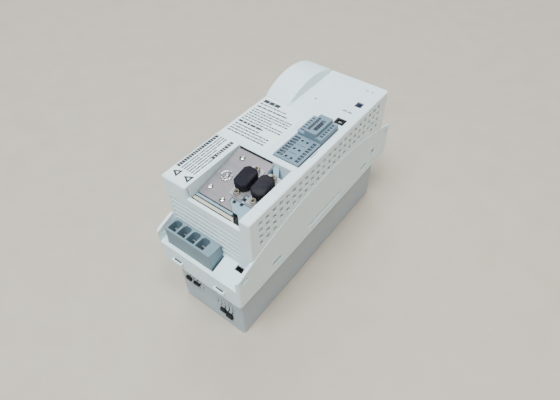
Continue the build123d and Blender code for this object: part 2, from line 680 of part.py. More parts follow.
with BuildPart() as connector_carrier:
    with BuildSketch(Plane.YZ.offset(CARRIER_X[0])):
        with BuildLine():
            Polyline(
                (CARRIER_Y[0], CARRIER_Z),
                (CARRIER_Y[1], CARRIER_Z),
                (CARRIER_Y[1], plate_z(CARRIER_Y[1]) - CARRIER_DROP),
                (STRIP_Y, plate_z(STRIP_Y) - CARRIER_DROP),
                (STRIP_Y, STRIP_Z),
                (CARRIER_Y[0], STRIP_Z),
                close=True,
            )
        make_face()
    extrude(amount=CARRIER_X[1] - CARRIER_X[0])
    block((CARRIER_X[0], slot_left(RIDGE_Y[1])), RIDGE_Y, (STRIP_Z, RIDGE_Z))
    # A shelf level with the plate, where the plate's near right corner is cut away
    with BuildSketch(on_plate(0, PLATE_Y[0])):
        with BuildLine():
            Polyline(
                (CORNER_CUT[0] + SHELF_GAP, uphill(WING_Y[0] - SHELF_GAP)),
                (CORNER_CUT[0] + SHELF_GAP, uphill(CORNER_CUT[1])),
                (PLATE_X[1] - 0.6, 0),
                (SLOT_FAR[0] + SLOT_WIDTH[1], 0),
                (SLOT_NEAR[0] + SLOT_WIDTH[0], uphill(CARRIER_Y[0])),
                (CARRIER_X[1], uphill(CARRIER_Y[0])),
                (CARRIER_X[1], uphill(WING_Y[0] - SHELF_GAP)),
                (WING_X[0] - SHELF_GAP, uphill(WING_Y[0] - SHELF_GAP)),
                (WING_X[0] - SHELF_GAP, uphill(NOTCH_Y - SHELF_GAP)),
                (PLATE_X[1] - 0.9, uphill(NOTCH_Y - SHELF_GAP)),
                (PLATE_X[1] - 0.9, uphill(WING_Y[0] - SHELF_GAP)),
                close=True,
            )
        make_face()
    shelf_top = on_plate(0, PLATE_Y[0]).offset(-SHELF_DROP)
    extrude(amount=-SHELF_THICKNESS)
    with BuildSketch(shelf_top):
        Rectangle(4 * WIDTH, 2 * WIDTH)
    extrude(amount=SHELF_DROP, mode=Mode.SUBTRACT)
    for x, y in SHELF_POCKETS:
        with BuildSketch(on_plate(x, y)):
            Rectangle(SHELF_POCKET, SHELF_POCKET)
        extrude(amount=-SHELF_THICKNESS + PAST, mode=Mode.SUBTRACT)
    with BuildSketch(Plane.XY.offset(CARRIER_Z)):
        Polygon(
            SLOT_FAR,
            (SLOT_FAR[0] + SLOT_WIDTH[1], SLOT_FAR[1]),
            (SLOT_NEAR[0] + SLOT_WIDTH[0], SLOT_NEAR[1]),
            SLOT_NEAR,
            align=None,
        )
        # The pit at the far right, with a slanting wall across it
        Polygon(
            (PLATE_X[1] + 4.4, CARRIER_Y[1]),
            (CARRIER_X[1], CARRIER_Y[1]),
            (CARRIER_X[1], PIT_Y),
            (PLATE_X[1] + 12.4, PIT_Y),
            align=None,
        )
        Polygon(
            (PLATE_X[1] + 0.4, CARRIER_Y[1] - 3.0),
            (PLATE_X[1] + 0.4, PIT_Y),
            (PLATE_X[1] + 9.0, PIT_Y),
            align=None,
        )
    extrude(amount=PANEL_Z - CARRIER_Z, mode=Mode.SUBTRACT)
    # Pockets behind the D-sub connectors and pilot holes for the plate's screws
    for x in DSUB_X:
        with BuildSketch(on_plate(x, DSUB_Y)):
            Rectangle(DSUB_CUTOUT[0] - 2 * GAP, DSUB_CUTOUT[1] - 2 * GAP)
        extrude(amount=-INSERT_DEPTH, mode=Mode.SUBTRACT)
        for side in (-1, 1):
            with BuildSketch(on_plate(x, DSUB_Y)):
                with Locations((0, side * DSUB_JACK_SPACING / 2)):
                    Circle(JACK_HOLE)
            extrude(amount=-SCREW_LENGTH, mode=Mode.SUBTRACT)
    for x, y in PLATE_SCREWS:
        with BuildSketch(on_plate(x, y)):
            Circle(SCREW_SHANK + 0.05)
        extrude(amount=-SCREW_LENGTH - PAST, mode=Mode.SUBTRACT)
save(connector_carrier.part, "connector_carrier")

with BuildPart() as edge_gasket:
    with BuildSketch(Plane.XY.offset(STRIP_Z)):
        Polygon(
            (CARRIER_X[0] + GAP, GASKET_Y[0]),
            (slot_left(GASKET_Y[0]) - GAP, GASKET_Y[0]),
            (slot_left(GASKET_Y[1]) - GAP, GASKET_Y[1]),
            (CARRIER_X[0] + GAP, GASKET_Y[1]),
            align=None,
        )
    extrude(amount=GASKET_Z - STRIP_Z)
save(edge_gasket.part, "edge_gasket")

with BuildPart() as corner_seal:
    with BuildSketch(Plane.XY.offset(CARRIER_Z)):
        Polygon(
            (SLOT_FAR[0] + GAP, SLOT_FAR[1] - GAP),
            (SLOT_FAR[0] + SLOT_WIDTH[1] - GAP, SLOT_FAR[1] - GAP),
            (SLOT_NEAR[0] + SLOT_WIDTH[0] - 2 * GAP, SLOT_NEAR[1]),
            (SLOT_NEAR[0] + GAP, SLOT_NEAR[1]),
            align=None,
        )
    extrude(amount=SEAL_Z - CARRIER_Z)
save(corner_seal.part, "corner_seal")


FLANGE = 0.8
SHELL_RISE = 6.6
SHELL_THICKNESS = 0.5
INSERT_DROP = 1.0
CONTACT_PITCH = 2.77
CONTACT_ROW_X = 1.42
CONTACT_HOLE = 0.6
CONTACT_FLOOR = 2.0
JACK_ACROSS = 2.4
JACK_BORE = 1.3
JACK_SHANK = 1.55
JACK_HEIGHT = 4.8
JACK_REACH = 5.4


def dsub_connector(x, name):
    """A nine-way D-sub socket: flange on the plate, thin shell, insert with contact holes."""
    flange = on_plate(x, DSUB_Y)
    with BuildPart() as connector:
        with BuildSketch(flange):
            RectangleRounded(*DSUB_FLANGE, 1.2)
            for side in (-1, 1):
                with Locations((0, side * DSUB_JACK_SPACING / 2)):
                    Circle(JACK_HOLE - 0.05, mode=Mode.SUBTRACT)
        extrude(amount=FLANGE)
        with BuildSketch(flange):
            RectangleRounded(*DSUB_SHELL, 2.4)
        extrude(amount=SHELL_RISE)
        with BuildSketch(flange.offset(SHELL_RISE - INSERT_DROP)):
            RectangleRounded(
                DSUB_SHELL[0] - 2 * SHELL_THICKNESS, DSUB_SHELL[1] - 2 * SHELL_THICKNESS, 2.0
            )
        extrude(amount=INSERT_DROP + PAST, mode=Mode.SUBTRACT)
        with BuildSketch(flange.offset(CONTACT_FLOOR)):
            for row_x, contacts in ((-CONTACT_ROW_X, 5), (CONTACT_ROW_X, 4)):
                with Locations((row_x, 0)):
                    with GridLocations(1, CONTACT_PITCH, 1, contacts):
                        Circle(CONTACT_HOLE)
        extrude(amount=SHELL_RISE, mode=Mode.SUBTRACT)
        with BuildSketch(flange):
            Rectangle(DSUB_CUTOUT[0] - 4 * GAP, DSUB_CUTOUT[1] - 4 * GAP)
        extrude(amount=-SHELL_RISE)
    save(connector.part, name)


dsub_connector(DSUB_X[0], "encoder_connector")
dsub_connector(DSUB_X[1], "resolver_connector")

with BuildPart() as jack_screws:
    for x in DSUB_X:
        for side in (-1, 1):
            jack = on_plate(x, DSUB_Y)
            with BuildSketch(jack.offset(FLANGE)):
                with Locations((0, side * DSUB_JACK_SPACING / 2)):
                    RegularPolygon(JACK_ACROSS, 6, major_radius=False)
                    Circle(JACK_BORE, mode=Mode.SUBTRACT)
            extrude(amount=JACK_HEIGHT)
            with BuildSketch(jack.offset(2 * FLANGE)):
                with Locations((0, side * DSUB_JACK_SPACING / 2)):
                    Circle(JACK_SHANK)
            extrude(amount=-2 * FLANGE - JACK_REACH)
save(jack_screws.part, "jack_screws")


CAP_SEAT = FLANGE + 0.1
CAP_CORNER = 3.0
CAP_CLEAR = 0.25


def dust_cap(x, name):
    """A push-on cap over a D-sub shell, with corners cut off and a bevelled rim."""
    with BuildPart() as cap:
        with BuildSketch(on_plate(x, DSUB_Y).offset(CAP_SEAT)):
            cap_corners = Rectangle(CAP_SIZE[0], CAP_SIZE[1])
            chamfer(cap_corners.vertices(), CAP_CORNER)
        extrude(amount=CAP_SIZE[2])
        cap_top = cap.faces().sort_by(Axis.Z)[-1]
        chamfer(cap_top.edges(), EDGE)
        with BuildSketch(on_plate(x, DSUB_Y).offset(CAP_SEAT)):
            RectangleRounded(DSUB_SHELL[0] + 2 * CAP_CLEAR, DSUB_SHELL[1] + 2 * CAP_CLEAR, 2.6)
        extrude(amount=SHELL_RISE - CAP_SEAT + 0.5, mode=Mode.SUBTRACT)
    save(cap.part, name)


dust_cap(DSUB_X[0], "encoder_cap")
dust_cap(DSUB_X[1], "resolver_cap")

# ---------------------------------------------------------------- control terminals
SOCKET_WALL = 1.2
PLUG_A_Y = (CONTROL_Y[0], PLUG_SPLIT_Y - 0.1)
PLUG_B_Y = (PLUG_SPLIT_Y + 0.1, CONTROL_Y[1])
FUNNEL_PITCH = 3.5
FUNNELS = 8
FUNNEL = 2.5
FUNNEL_DEPTH = 6.0
# Middle and width, across the plug, of its two rows of funnels
FUNNEL_ROWS = ((15.9, 5.6), (32.3, 3.4))
TEST_HOLE_X = (21.6, 26.4)
TEST_HOLE_Y = (-28.5, -17.5, -6.0)
TEST_HOLE = 1.25
GROUP_LINE_Y = (-30.6, -23.0, -11.8)
GROUP_LINE_X = (20.4, 27.8)
GROUP_LINE = 0.6
SOCKET_FLOOR = CONTROL_TOP + 2.0
# The raised plug: where its steps end, how far they drop, and its grooves
LEFT_STEP = 18.4
RIGHT_STEP = 30.6
STEP_DROP = (4.2, 3.4)
GRIPS = 6
GRIP_PITCH = 3.5
GRIP_FIRST = 3.6
GRIP_X = (12.9, 17.0)
GRIP_WIDTH = 1.6
WIRE_SLOT_X = (32.0, 34.6)
WIRE_SLOT_WIDTH = 2.2
COMB_X = (20.2, 22.2)
COMB_Y = (2.2, 20.8)
FIELD_X = (24.4, 28.2)
FIELD_Y = (4.0, 19.0)

with BuildPart() as control_header:
    block(CONTROL_X, CONTROL_Y, (CONTROL_TOP, PLUG_SEAT_Z - 0.3))
    for y in (PLUG_A_Y, PLUG_B_Y):
        block(
            (CONTROL_X[0] + SOCKET_WALL, CONTROL_X[1] - SOCKET_WALL),
            (y[0] + SOCKET_WALL, y[1] - SOCKET_WALL),
            (SOCKET_FLOOR, PLUG_SEAT_Z),
            Mode.SUBTRACT,
        )
save(control_header.part, "control_header")


def plug_body(y, top):
    """The body of a control plug: a head on the header's rim and a tongue inside it."""
    block(CONTROL_X, y, (PLUG_SEAT_Z, top))
    block(
        (CONTROL_X[0] + SOCKET_WALL + GAP, CONTROL_X[1] - SOCKET_WALL - GAP),
        (y[0] + SOCKET_WALL + GAP, y[1] - SOCKET_WALL - GAP),
        (SOCKET_FLOOR + 0.6, PLUG_SEAT_Z),
    )


with BuildPart() as control_plug:
    plug_body(PLUG_A_Y, FLUSH_PLUG_TOP)
    # Two rows of wire funnels, and a pair of round test holes for each group
    plug_middle = sum(PLUG_A_Y) / 2
    for x, width in FUNNEL_ROWS:
        with Locations((x, plug_middle, FLUSH_PLUG_TOP)):
            with GridLocations(1, FUNNEL_PITCH, 1, FUNNELS):
                Box(width, FUNNEL, 2 * FUNNEL_DEPTH, mode=Mode.SUBTRACT)
    for y in TEST_HOLE_Y:
        for x in TEST_HOLE_X:
            post(x, y, (FLUSH_PLUG_TOP - FUNNEL_DEPTH, FLUSH_PLUG_TOP), TEST_HOLE, Mode.SUBTRACT)
    for y in GROUP_LINE_Y:
        block(
            GROUP_LINE_X,
            (y - GROUP_LINE / 2, y + GROUP_LINE / 2),
            (FLUSH_PLUG_TOP - GROUP_LINE, FLUSH_PLUG_TOP),
            Mode.SUBTRACT,
        )
save(control_plug.part, "control_plug")

with BuildPart() as tall_plug:
    plug_body(PLUG_B_Y, TALL_PLUG_TOP)
    # The head steps down on both long sides, with grip grooves in the left step
    left_top = TALL_PLUG_TOP - STEP_DROP[0]
    right_top = TALL_PLUG_TOP - STEP_DROP[1]
    block((CONTROL_X[0], LEFT_STEP), PLUG_B_Y, (left_top, TALL_PLUG_TOP), Mode.SUBTRACT)
    block((RIGHT_STEP, CONTROL_X[1]), PLUG_B_Y, (right_top, TALL_PLUG_TOP), Mode.SUBTRACT)
    for groove in range(GRIPS):
        y = PLUG_B_Y[0] + GRIP_FIRST + groove * GRIP_PITCH
        block(GRIP_X, (y, y + GRIP_WIDTH), (left_top - FUNNEL_DEPTH / 2, left_top), Mode.SUBTRACT)
        block(WIRE_SLOT_X, (y, y + WIRE_SLOT_WIDTH), (right_top - FUNNEL_DEPTH, right_top), Mode.SUBTRACT)
    block(COMB_X, COMB_Y, (TALL_PLUG_TOP - FUNNEL_DEPTH, TALL_PLUG_TOP), Mode.SUBTRACT)
    block(FIELD_X, FIELD_Y, (TALL_PLUG_TOP - THIN_WALL, TALL_PLUG_TOP), Mode.SUBTRACT)
    near_edges = tall_plug.edges().filter_by(Axis.Z).group_by(Axis.Y)[0]
    chamfer(near_edges, 1.2)
save(tall_plug.part, "tall_plug")

# ---------------------------------------------------------------- power terminals
BLADE = (4.4, 1.2)
BLADE_TOP = 99.5
BLADE_ROOT = CHAMBER_FLOOR - 12.0
CHAMBER_CORNER = 1.8
BRAKE_WALL = 0.8
BRAKE_DEPTH = 9.0
BRAKE_PIN = 1.0


def power_header(x, first_pole, end, name, blades_name):
    """A shrouded four-pole header on the power board, and its contact blades."""
    y = (end * HEADER_Y[0], end * HEADER_Y[1])
    pole_y = sum(y) / 2
    poles = [(first_pole + pole * POLE_PITCH, pole_y) for pole in range(POLES)]
    with BuildPart() as header:
        block(x, y, (POWER_TOP, HEADER_TOP))
        fillet(header.edges().filter_by(Axis.Z), EDGE)
        # Chambers with the two corners beside the cover cut off
        with BuildSketch(Plane.XY.offset(HEADER_TOP)):
            with Locations(*poles):
                chamber = Rectangle(*CHAMBER)
                chamfer(chamber.vertices().group_by(Axis.Y)[-1 if end < 0 else 0], CHAMBER_CORNER)
        extrude(amount=CHAMBER_FLOOR - HEADER_TOP, mode=Mode.SUBTRACT)
        for pole_x, _ in poles:
            block(
                (pole_x - BLADE[0] / 2, pole_x + BLADE[0] / 2),
                (pole_y - BLADE[1] / 2, pole_y + BLADE[1] / 2),
                (BLADE_ROOT, CHAMBER_FLOOR),
                Mode.SUBTRACT,
            )
    save(header.part, name)
    with BuildPart() as blades:
        with Locations(*[(pole_x, middle, BLADE_ROOT) for pole_x, middle in poles]):
            Box(*BLADE, BLADE_TOP - BLADE_ROOT, align=BASE_ALIGN)
    save(blades.part, blades_name)


power_header(MOTOR_HEADER_X, MOTOR_FIRST_POLE_X, -1, "motor_header", "motor_blades")
power_header(BUS_HEADER_X, BUS_FIRST_POLE_X, 1, "bus_header", "bus_blades")

with BuildPart() as brake_header:
    block(BRAKE_X, BRAKE_Y, (POWER_TOP, BRAKE_TOP))
    block(
        (BRAKE_X[0] + BRAKE_WALL, BRAKE_X[1] - BRAKE_WALL),
        (BRAKE_Y[0] + BRAKE_WALL, BRAKE_Y[1] - BRAKE_WALL),
        (BRAKE_TOP - BRAKE_DEPTH, BRAKE_TOP),
        Mode.SUBTRACT,
    )
    for x in (BRAKE_X[0] + 2 * BRAKE_PIN, BRAKE_X[1] - 2 * BRAKE_PIN):
        block(
            (x - BRAKE_PIN / 2, x + BRAKE_PIN / 2),
            (BRAKE_Y[0] + 2 * BRAKE_WALL, BRAKE_Y[1] - 2 * BRAKE_WALL),
            (BRAKE_TOP - BRAKE_DEPTH, BRAKE_TOP - 2 * BRAKE_PIN),
        )
save(brake_header.part, "brake_header")

# ---------------------------------------------------------------- small panel parts
SYNC_TOP = PANEL_Z + 0.4
SYNC_CORE = 2.0
SYNC_DEPTH = 7.0
SYNC_GAP = 0.9

with BuildPart() as sync_socket:
    block(SYNC_X, SYNC_Y, (IO_TOP, SYNC_TOP))
    block(
        (SYNC_X[0] + SYNC_CORE, SYNC_X[1] - SYNC_CORE),
        (SYNC_Y[0] + SYNC_CORE, SYNC_Y[1] - SYNC_CORE),
        (SYNC_TOP - SYNC_DEPTH, SYNC_TOP),
        Mode.SUBTRACT,
    )
save(sync_socket.part, "sync_socket")

with BuildPart() as sync_insert:
    block(
        (SYNC_X[0] + SYNC_CORE + SYNC_GAP, SYNC_X[1] - SYNC_CORE - SYNC_GAP),
        (SYNC_Y[0] + SYNC_CORE + SYNC_GAP, SYNC_Y[1] - SYNC_CORE - SYNC_GAP),
        (SYNC_TOP - SYNC_DEPTH, SYNC_TOP - SYNC_GAP),
    )
save(sync_insert.part, "sync_insert")

DIP_TRACK = (1.2, 3.6)
DIP_TRACK_DEPTH = 1.3
DIP_PITCH = 2.54
LEVER_SIZE = (1.6, 1.0, 1.9)
LEVER_GAP = 0.1
dip_middle = (sum(DIP_X) / 2, sum(DIP_Y) / 2)
track_ys = (dip_middle[1] - DIP_PITCH / 2, dip_middle[1] + DIP_PITCH / 2)

with BuildPart() as dip_switch:
    block(DIP_X, DIP_Y, (IO_TOP, DIP_TOP))
    for y in track_ys:
        block(
            (dip_middle[0] - DIP_TRACK[1] / 2, dip_middle[0] + DIP_TRACK[1] / 2),
            (y - DIP_TRACK[0] / 2, y + DIP_TRACK[0] / 2),
            (DIP_TOP - DIP_TRACK_DEPTH, DIP_TOP),
            Mode.SUBTRACT,
        )
save(dip_switch.part, "dip_switch")


def dip_lever(y, name):
    """A slider of the DIP switch, at the low-X end of its track."""
    with BuildPart() as lever:
        low = (
            dip_middle[0] - DIP_TRACK[1] / 2 + LEVER_GAP,
            y - LEVER_SIZE[1] / 2,
            DIP_TOP - DIP_TRACK_DEPTH + LEVER_GAP,
        )
        block(*[(start, start + size) for start, size in zip(low, LEVER_SIZE)])
    save(lever.part, name)


dip_lever(track_ys[0], "dip_lever_1")
dip_lever(track_ys[1], "dip_lever_2")

PIPE = 1.25
PIPE_TOP = PANEL_Z + 0.1
LED_SIZE = (2.0, 2.4, 1.6)
PIPE_FOOT = IO_TOP + LED_SIZE[2] + 0.6

with BuildPart() as light_pipes:
    for x in LED_X:
        post(x, LED_Y, (PIPE_FOOT, PIPE_TOP), PIPE)
        with Locations((x, LED_Y, PIPE_TOP)):
            Sphere(PIPE, arc_size1=0)
save(light_pipes.part, "light_pipes")

with BuildPart() as status_leds:
    with Locations(*[(x, LED_Y, IO_TOP) for x in LED_X]):
        Box(*LED_SIZE, align=BASE_ALIGN)
save(status_leds.part, "status_leds")

LABEL = 0.12
LABEL_CORNER = 1.5
NAMEPLATE_X = (-41.5, 4.5)
NAMEPLATE_Y = (-34.0, 26.5)
NOTICE_X = (-42.4, -20.4)
NOTICE_Y = (-99.5, -38.0)

with BuildPart() as nameplate:
    block(NAMEPLATE_X, NAMEPLATE_Y, (PANEL_Z, PANEL_Z + LABEL))
    fillet(nameplate.edges().filter_by(Axis.Z), LABEL_CORNER)
save(nameplate.part, "nameplate")

with BuildPart() as notice_label:
    block(NOTICE_X, NOTICE_Y, (PANEL_Z, PANEL_Z + LABEL))
    fillet(notice_label.edges().filter_by(Axis.Z), LABEL_CORNER)
save(notice_label.part, "notice_label")

# ---------------------------------------------------------------- circuit boards
SPACER = 2.6
CORNERS = ((-35.0, -88.0), (35.0, -88.0), (-35.0, 88.0), (35.0, 88.0))
IO_SPACERS = ((31.0, 49.0), (31.0, 78.0))
BOARD_HOLE = 1.6
POWER_BOARD = (80.0, 233.6)
CONTROL_BOARD = (78.0, 188.0)
IO_BOARD_X = (22.0, 38.6)
IO_BOARD_Y = (29.5, 95.0)
SCREW_HEAD_HEIGHT = 1.7
BOARD_SCREW_HEAD = 2.8
BOARD_SCREW_SLOT = (3.2, 0.8)
# Middle x, middle y, width, length and height of each chip
CHIPS = (
    (-12, 8, 20, 20, 1.6),
    (-14, -18, 12, 18, 1.2),
    (-30, -10, 10, 14, 1.2),
    (0, 40, 14, 10, 1.4),
    (4, 66, 12, 12, 1.4),
)
LINK_HALF_X = 20.0
LINK_Y = (-24.0, -18.0)
LINK_WINDOWS_X = (-16, -6, 6, 16)
LINK_WINDOW = 6.8
LINK_WINDOW_Z = (82.0, 112.0)

with BuildPart() as power_board:
    with Locations((0, 0, POWER_BOARD_Z)):
        Box(*POWER_BOARD, BOARD, align=BASE_ALIGN)
    for x, y in CORNERS:
        post(x, y, (POWER_BOARD_Z, POWER_TOP), BOARD_HOLE, Mode.SUBTRACT)
save(power_board.part, "power_board")

with BuildPart() as control_board:
    with Locations((0, 0, CONTROL_BOARD_Z)):
        Box(*CONTROL_BOARD, BOARD, align=BASE_ALIGN)
    for x, y in CORNERS:
        post(x, y, (CONTROL_BOARD_Z, CONTROL_TOP), BOARD_HOLE, Mode.SUBTRACT)
save(control_board.part, "control_board")

with BuildPart() as indicator_board:
    block(IO_BOARD_X, IO_BOARD_Y, (IO_BOARD_Z, IO_TOP))
save(indicator_board.part, "indicator_board")

with BuildPart() as board_spacers:
    for x, y in CORNERS:
        with BuildSketch(Plane.XY.offset(HOUSING_FLOOR_TOP)):
            with Locations((x, y)):
                RegularPolygon(SPACER, 6, major_radius=False)
        extrude(amount=POWER_BOARD_Z - HOUSING_FLOOR_TOP)
        with BuildSketch(Plane.XY.offset(POWER_TOP)):
            with Locations((x, y)):
                RegularPolygon(SPACER, 6, major_radius=False)
        extrude(amount=CONTROL_BOARD_Z - POWER_TOP)
    for x, y in IO_SPACERS:
        post(x, y, (CONTROL_TOP, IO_BOARD_Z), SPACER)
save(board_spacers.part, "board_spacers")

with BuildPart() as board_screws:
    for x, y in CORNERS:
        post(x, y, (CONTROL_TOP, CONTROL_TOP + SCREW_HEAD_HEIGHT), BOARD_SCREW_HEAD)
        with BuildSketch(Plane.XY.offset(CONTROL_TOP + CROSS_FLOOR)):
            with Locations((x, y)):
                Rectangle(*BOARD_SCREW_SLOT)
                Rectangle(*reversed(BOARD_SCREW_SLOT))
        extrude(amount=SCREW_HEAD_HEIGHT, mode=Mode.SUBTRACT)
save(board_screws.part, "board_screws")

with BuildPart() as control_chips:
    for x, y, width, length, height in CHIPS:
        with Locations((x, y, CONTROL_TOP)):
            Box(width, length, height, align=BASE_ALIGN)
save(control_chips.part, "control_chips")

with BuildPart() as board_link:
    block((-LINK_HALF_X, LINK_HALF_X), LINK_Y, (POWER_TOP, CONTROL_BOARD_Z))
    for x in LINK_WINDOWS_X:
        block((x - LINK_WINDOW / 2, x + LINK_WINDOW / 2), LINK_Y, LINK_WINDOW_Z, Mode.SUBTRACT)
save(board_link.part, "board_link")

# ---------------------------------------------------------------- power components
CAPACITOR = (15.5, 40.0)
CAPACITOR_PLACES = ((-21.0, 34.0), (14.0, 34.0), (-21.0, 68.0), (14.0, 68.0))
# Heights of the crimped groove round a capacitor's foot, and its depth
CRIMP_Z = (2.0, 2.8, 3.6, 4.4)
CRIMP = 0.8
CHOKE_PLACE = (-22.0, -58.0)
CHOKE_RADII = (12.0, 5.5)
CHOKE_HEIGHT = 13.0
CHOKE_ROUND = 1.6
TRANSFORMER_PLACE = (26.0, -50.0)
TRANSFORMER = (22.0, 24.0, 24.0)
TRANSFORMER_FLANGE = 4.0
TRANSFORMER_CORE = (14.0, 20.0)
TRANSFORMER_LIMB = (3.0, 12.0)
SENSOR_X = (-24.0, -4.0)
SENSOR_Y = -85.0
SENSOR = (12.0, 14.0, 17.0)
SENSOR_BORE = 3.2
SENSOR_BORE_Z = 10.0
RELAY_PLACE = (20.5, -84.0)
RELAY = (13.0, 28.0, 16.0)

with BuildPart() as link_capacitors:
    for x, y in CAPACITOR_PLACES:
        with BuildSketch(Plane.XZ.offset(-y)):
            with BuildLine():
                Polyline(
                    (x, POWER_TOP),
                    (x + CAPACITOR[0], POWER_TOP),
                    (x + CAPACITOR[0], POWER_TOP + CRIMP_Z[0]),
                    (x + CAPACITOR[0] - CRIMP, POWER_TOP + CRIMP_Z[1]),
                    (x + CAPACITOR[0] - CRIMP, POWER_TOP + CRIMP_Z[2]),
                    (x + CAPACITOR[0], POWER_TOP + CRIMP_Z[3]),
                    (x + CAPACITOR[0], POWER_TOP + CAPACITOR[1] - CRIMP),
                    (x + CAPACITOR[0] - CRIMP, POWER_TOP + CAPACITOR[1]),
                    (x, POWER_TOP + CAPACITOR[1]),
                    close=True,
                )
            make_face()
        revolve(axis=Axis((x, y, 0), (0, 0, 1)))
save(link_capacitors.part, "link_capacitors")

with BuildPart() as line_choke:
    with BuildSketch(Plane.XY.offset(POWER_TOP)):
        with Locations(CHOKE_PLACE):
            Circle(CHOKE_RADII[0])
            Circle(CHOKE_RADII[1], mode=Mode.SUBTRACT)
    extrude(amount=CHOKE_HEIGHT)
    fillet(line_choke.edges().filter_by(GeomType.CIRCLE).group_by(Axis.Z)[-1], CHOKE_ROUND)
save(line_choke.part, "line_choke")

with BuildPart() as supply_transformer:
    limb_x = (TRANSFORMER[0] - TRANSFORMER_LIMB[0]) / 2
    with Locations((*TRANSFORMER_PLACE, POWER_TOP)):
        Box(*TRANSFORMER, align=BASE_ALIGN)
    with Locations((*TRANSFORMER_PLACE, POWER_TOP + TRANSFORMER_FLANGE)):
        Box(
            TRANSFORMER[0],
            TRANSFORMER[1],
            TRANSFORMER[2] - 2 * TRANSFORMER_FLANGE,
            align=BASE_ALIGN,
            mode=Mode.SUBTRACT,
        )
        Box(*TRANSFORMER_CORE, TRANSFORMER[2] - 2 * TRANSFORMER_FLANGE, align=BASE_ALIGN)
        with Locations((-limb_x, 0, 0), (limb_x, 0, 0)):
            Box(*TRANSFORMER_LIMB, TRANSFORMER[2] - 2 * TRANSFORMER_FLANGE, align=BASE_ALIGN)
save(supply_transformer.part, "supply_transformer")

with BuildPart() as current_sensors:
    with Locations(*[(x, SENSOR_Y, POWER_TOP) for x in SENSOR_X]):
        Box(*SENSOR, align=BASE_ALIGN)
    with Locations(*[(x, SENSOR_Y, POWER_TOP + SENSOR_BORE_Z) for x in SENSOR_X]):
        Cylinder(SENSOR_BORE, SENSOR[1] + PAST, rotation=(90, 0, 0), mode=Mode.SUBTRACT)
save(current_sensors.part, "current_sensors")

with BuildPart() as brake_relay:
    with Locations((*RELAY_PLACE, POWER_TOP)):
        Box(*RELAY, align=BASE_ALIGN)
    chamfer(brake_relay.faces().sort_by(Axis.Z)[-1].edges(), EDGE)
save(brake_relay.part, "brake_relay")

MODULE_X = 24.0
MODULE_Y = (-50.0, 10.0)
MODULE_FLANGE = 4.0
MODULE_HEIGHT = 9.5
MODULE_STEP = (3.0, 6.0)
MODULE_HOLE = 2.2
MODULE_SCREW_Y = (MODULE_Y[0] + 3.0, MODULE_Y[1] - 3.0)
MODULE_SCREW = 2.0
MODULE_SCREW_HEAD = (2.8, 2.6)
THREAD_DEPTH = 5.0

with BuildPart() as power_module:
    block((-MODULE_X, MODULE_X), MODULE_Y, (BASE_TOP, BASE_TOP + MODULE_FLANGE))
    block(
        (-MODULE_X + MODULE_STEP[0], MODULE_X - MODULE_STEP[0]),
        (MODULE_Y[0] + MODULE_STEP[1], MODULE_Y[1] - MODULE_STEP[1]),
        (BASE_TOP, BASE_TOP + MODULE_HEIGHT),
    )
    for y in MODULE_SCREW_Y:
        post(0, y, (BASE_TOP, BASE_TOP + MODULE_FLANGE), MODULE_HOLE, Mode.SUBTRACT)
save(power_module.part, "power_module")

with BuildPart() as module_screws:
    for y in MODULE_SCREW_Y:
        head_z = BASE_TOP + MODULE_FLANGE
        post(0, y, (BASE_TOP - THREAD_DEPTH, head_z), MODULE_SCREW)
        post(0, y, (head_z, head_z + MODULE_SCREW_HEAD[1]), MODULE_SCREW_HEAD[0])
save(module_screws.part, "module_screws")

# ---------------------------------------------------------------- heat sink
FIN_FOOT_Z = 6.0
TAPPED_HOLE = 2.05
SINK_SCREW = 2.0
SINK_SCREW_HEAD = (3.6, 2.8)
SINK_SCREW_SLOT = (4.2, 0.9)

with BuildPart() as heat_sink:
    block((-SINK_HALF_X, SINK_HALF_X), SINK_Y, (SINK_PLATE_Z, BASE_TOP))
    for fin in range(FINS):
        x = (fin - (FINS - 1) / 2) * FIN_PITCH
        block((x - FIN / 2, x + FIN / 2), SINK_Y, (FIN_FOOT_Z, SINK_PLATE_Z))
    sink_holes = [(x, y) for x in (-SINK_SCREW_X, SINK_SCREW_X) for y in SINK_SCREW_Y]
    for x, y in [*sink_holes, *[(0, y) for y in MODULE_SCREW_Y]]:
        post(x, y, (BASE_TOP - THREAD_DEPTH - PAST, BASE_TOP), TAPPED_HOLE, Mode.SUBTRACT)
save(heat_sink.part, "heat_sink")

with BuildPart() as sink_screws:
    for x, y in sink_holes:
        post(x, y, (BASE_TOP - THREAD_DEPTH, HOUSING_FLOOR_TOP), SINK_SCREW)
        head_top = HOUSING_FLOOR_TOP + SINK_SCREW_HEAD[1]
        post(x, y, (HOUSING_FLOOR_TOP, head_top), SINK_SCREW_HEAD[0])
        with BuildSketch(Plane.XY.offset(head_top)):
            with Locations((x, y)):
                Rectangle(*SINK_SCREW_SLOT)
                Rectangle(*reversed(SINK_SCREW_SLOT))
        extrude(amount=-SINK_SCREW_HEAD[1] + 2 * CROSS_FLOOR, mode=Mode.SUBTRACT)
save(sink_screws.part, "sink_screws")

# ---------------------------------------------------------------- fan
fan_face = Plane(origin=(0, FAN_FRONT_Y, FAN_Z), x_dir=(1, 0, 0), z_dir=(0, 1, 0))
MOTOR_DISC = 2.4
HUB_DEPTH = 17.0
HUB_START = 3.0
BLADE_PITCH = 38
BLADE_TIP = 27.2
BLADE_THICKNESS = 1.2
BLADE_CHORD = 16.5
BLADE_SINK = 0.6
HUB_WALL = 1.6
FAN_SCREW_SPACING = 50.0
FAN_SCREW_HOLE = 2.2
STRUT = 3.0
BEARING_WALL = 2.0
BEARING_LENGTH = 8.0
SHAFT_FIT = 0.05
SHAFT_END = 0.4

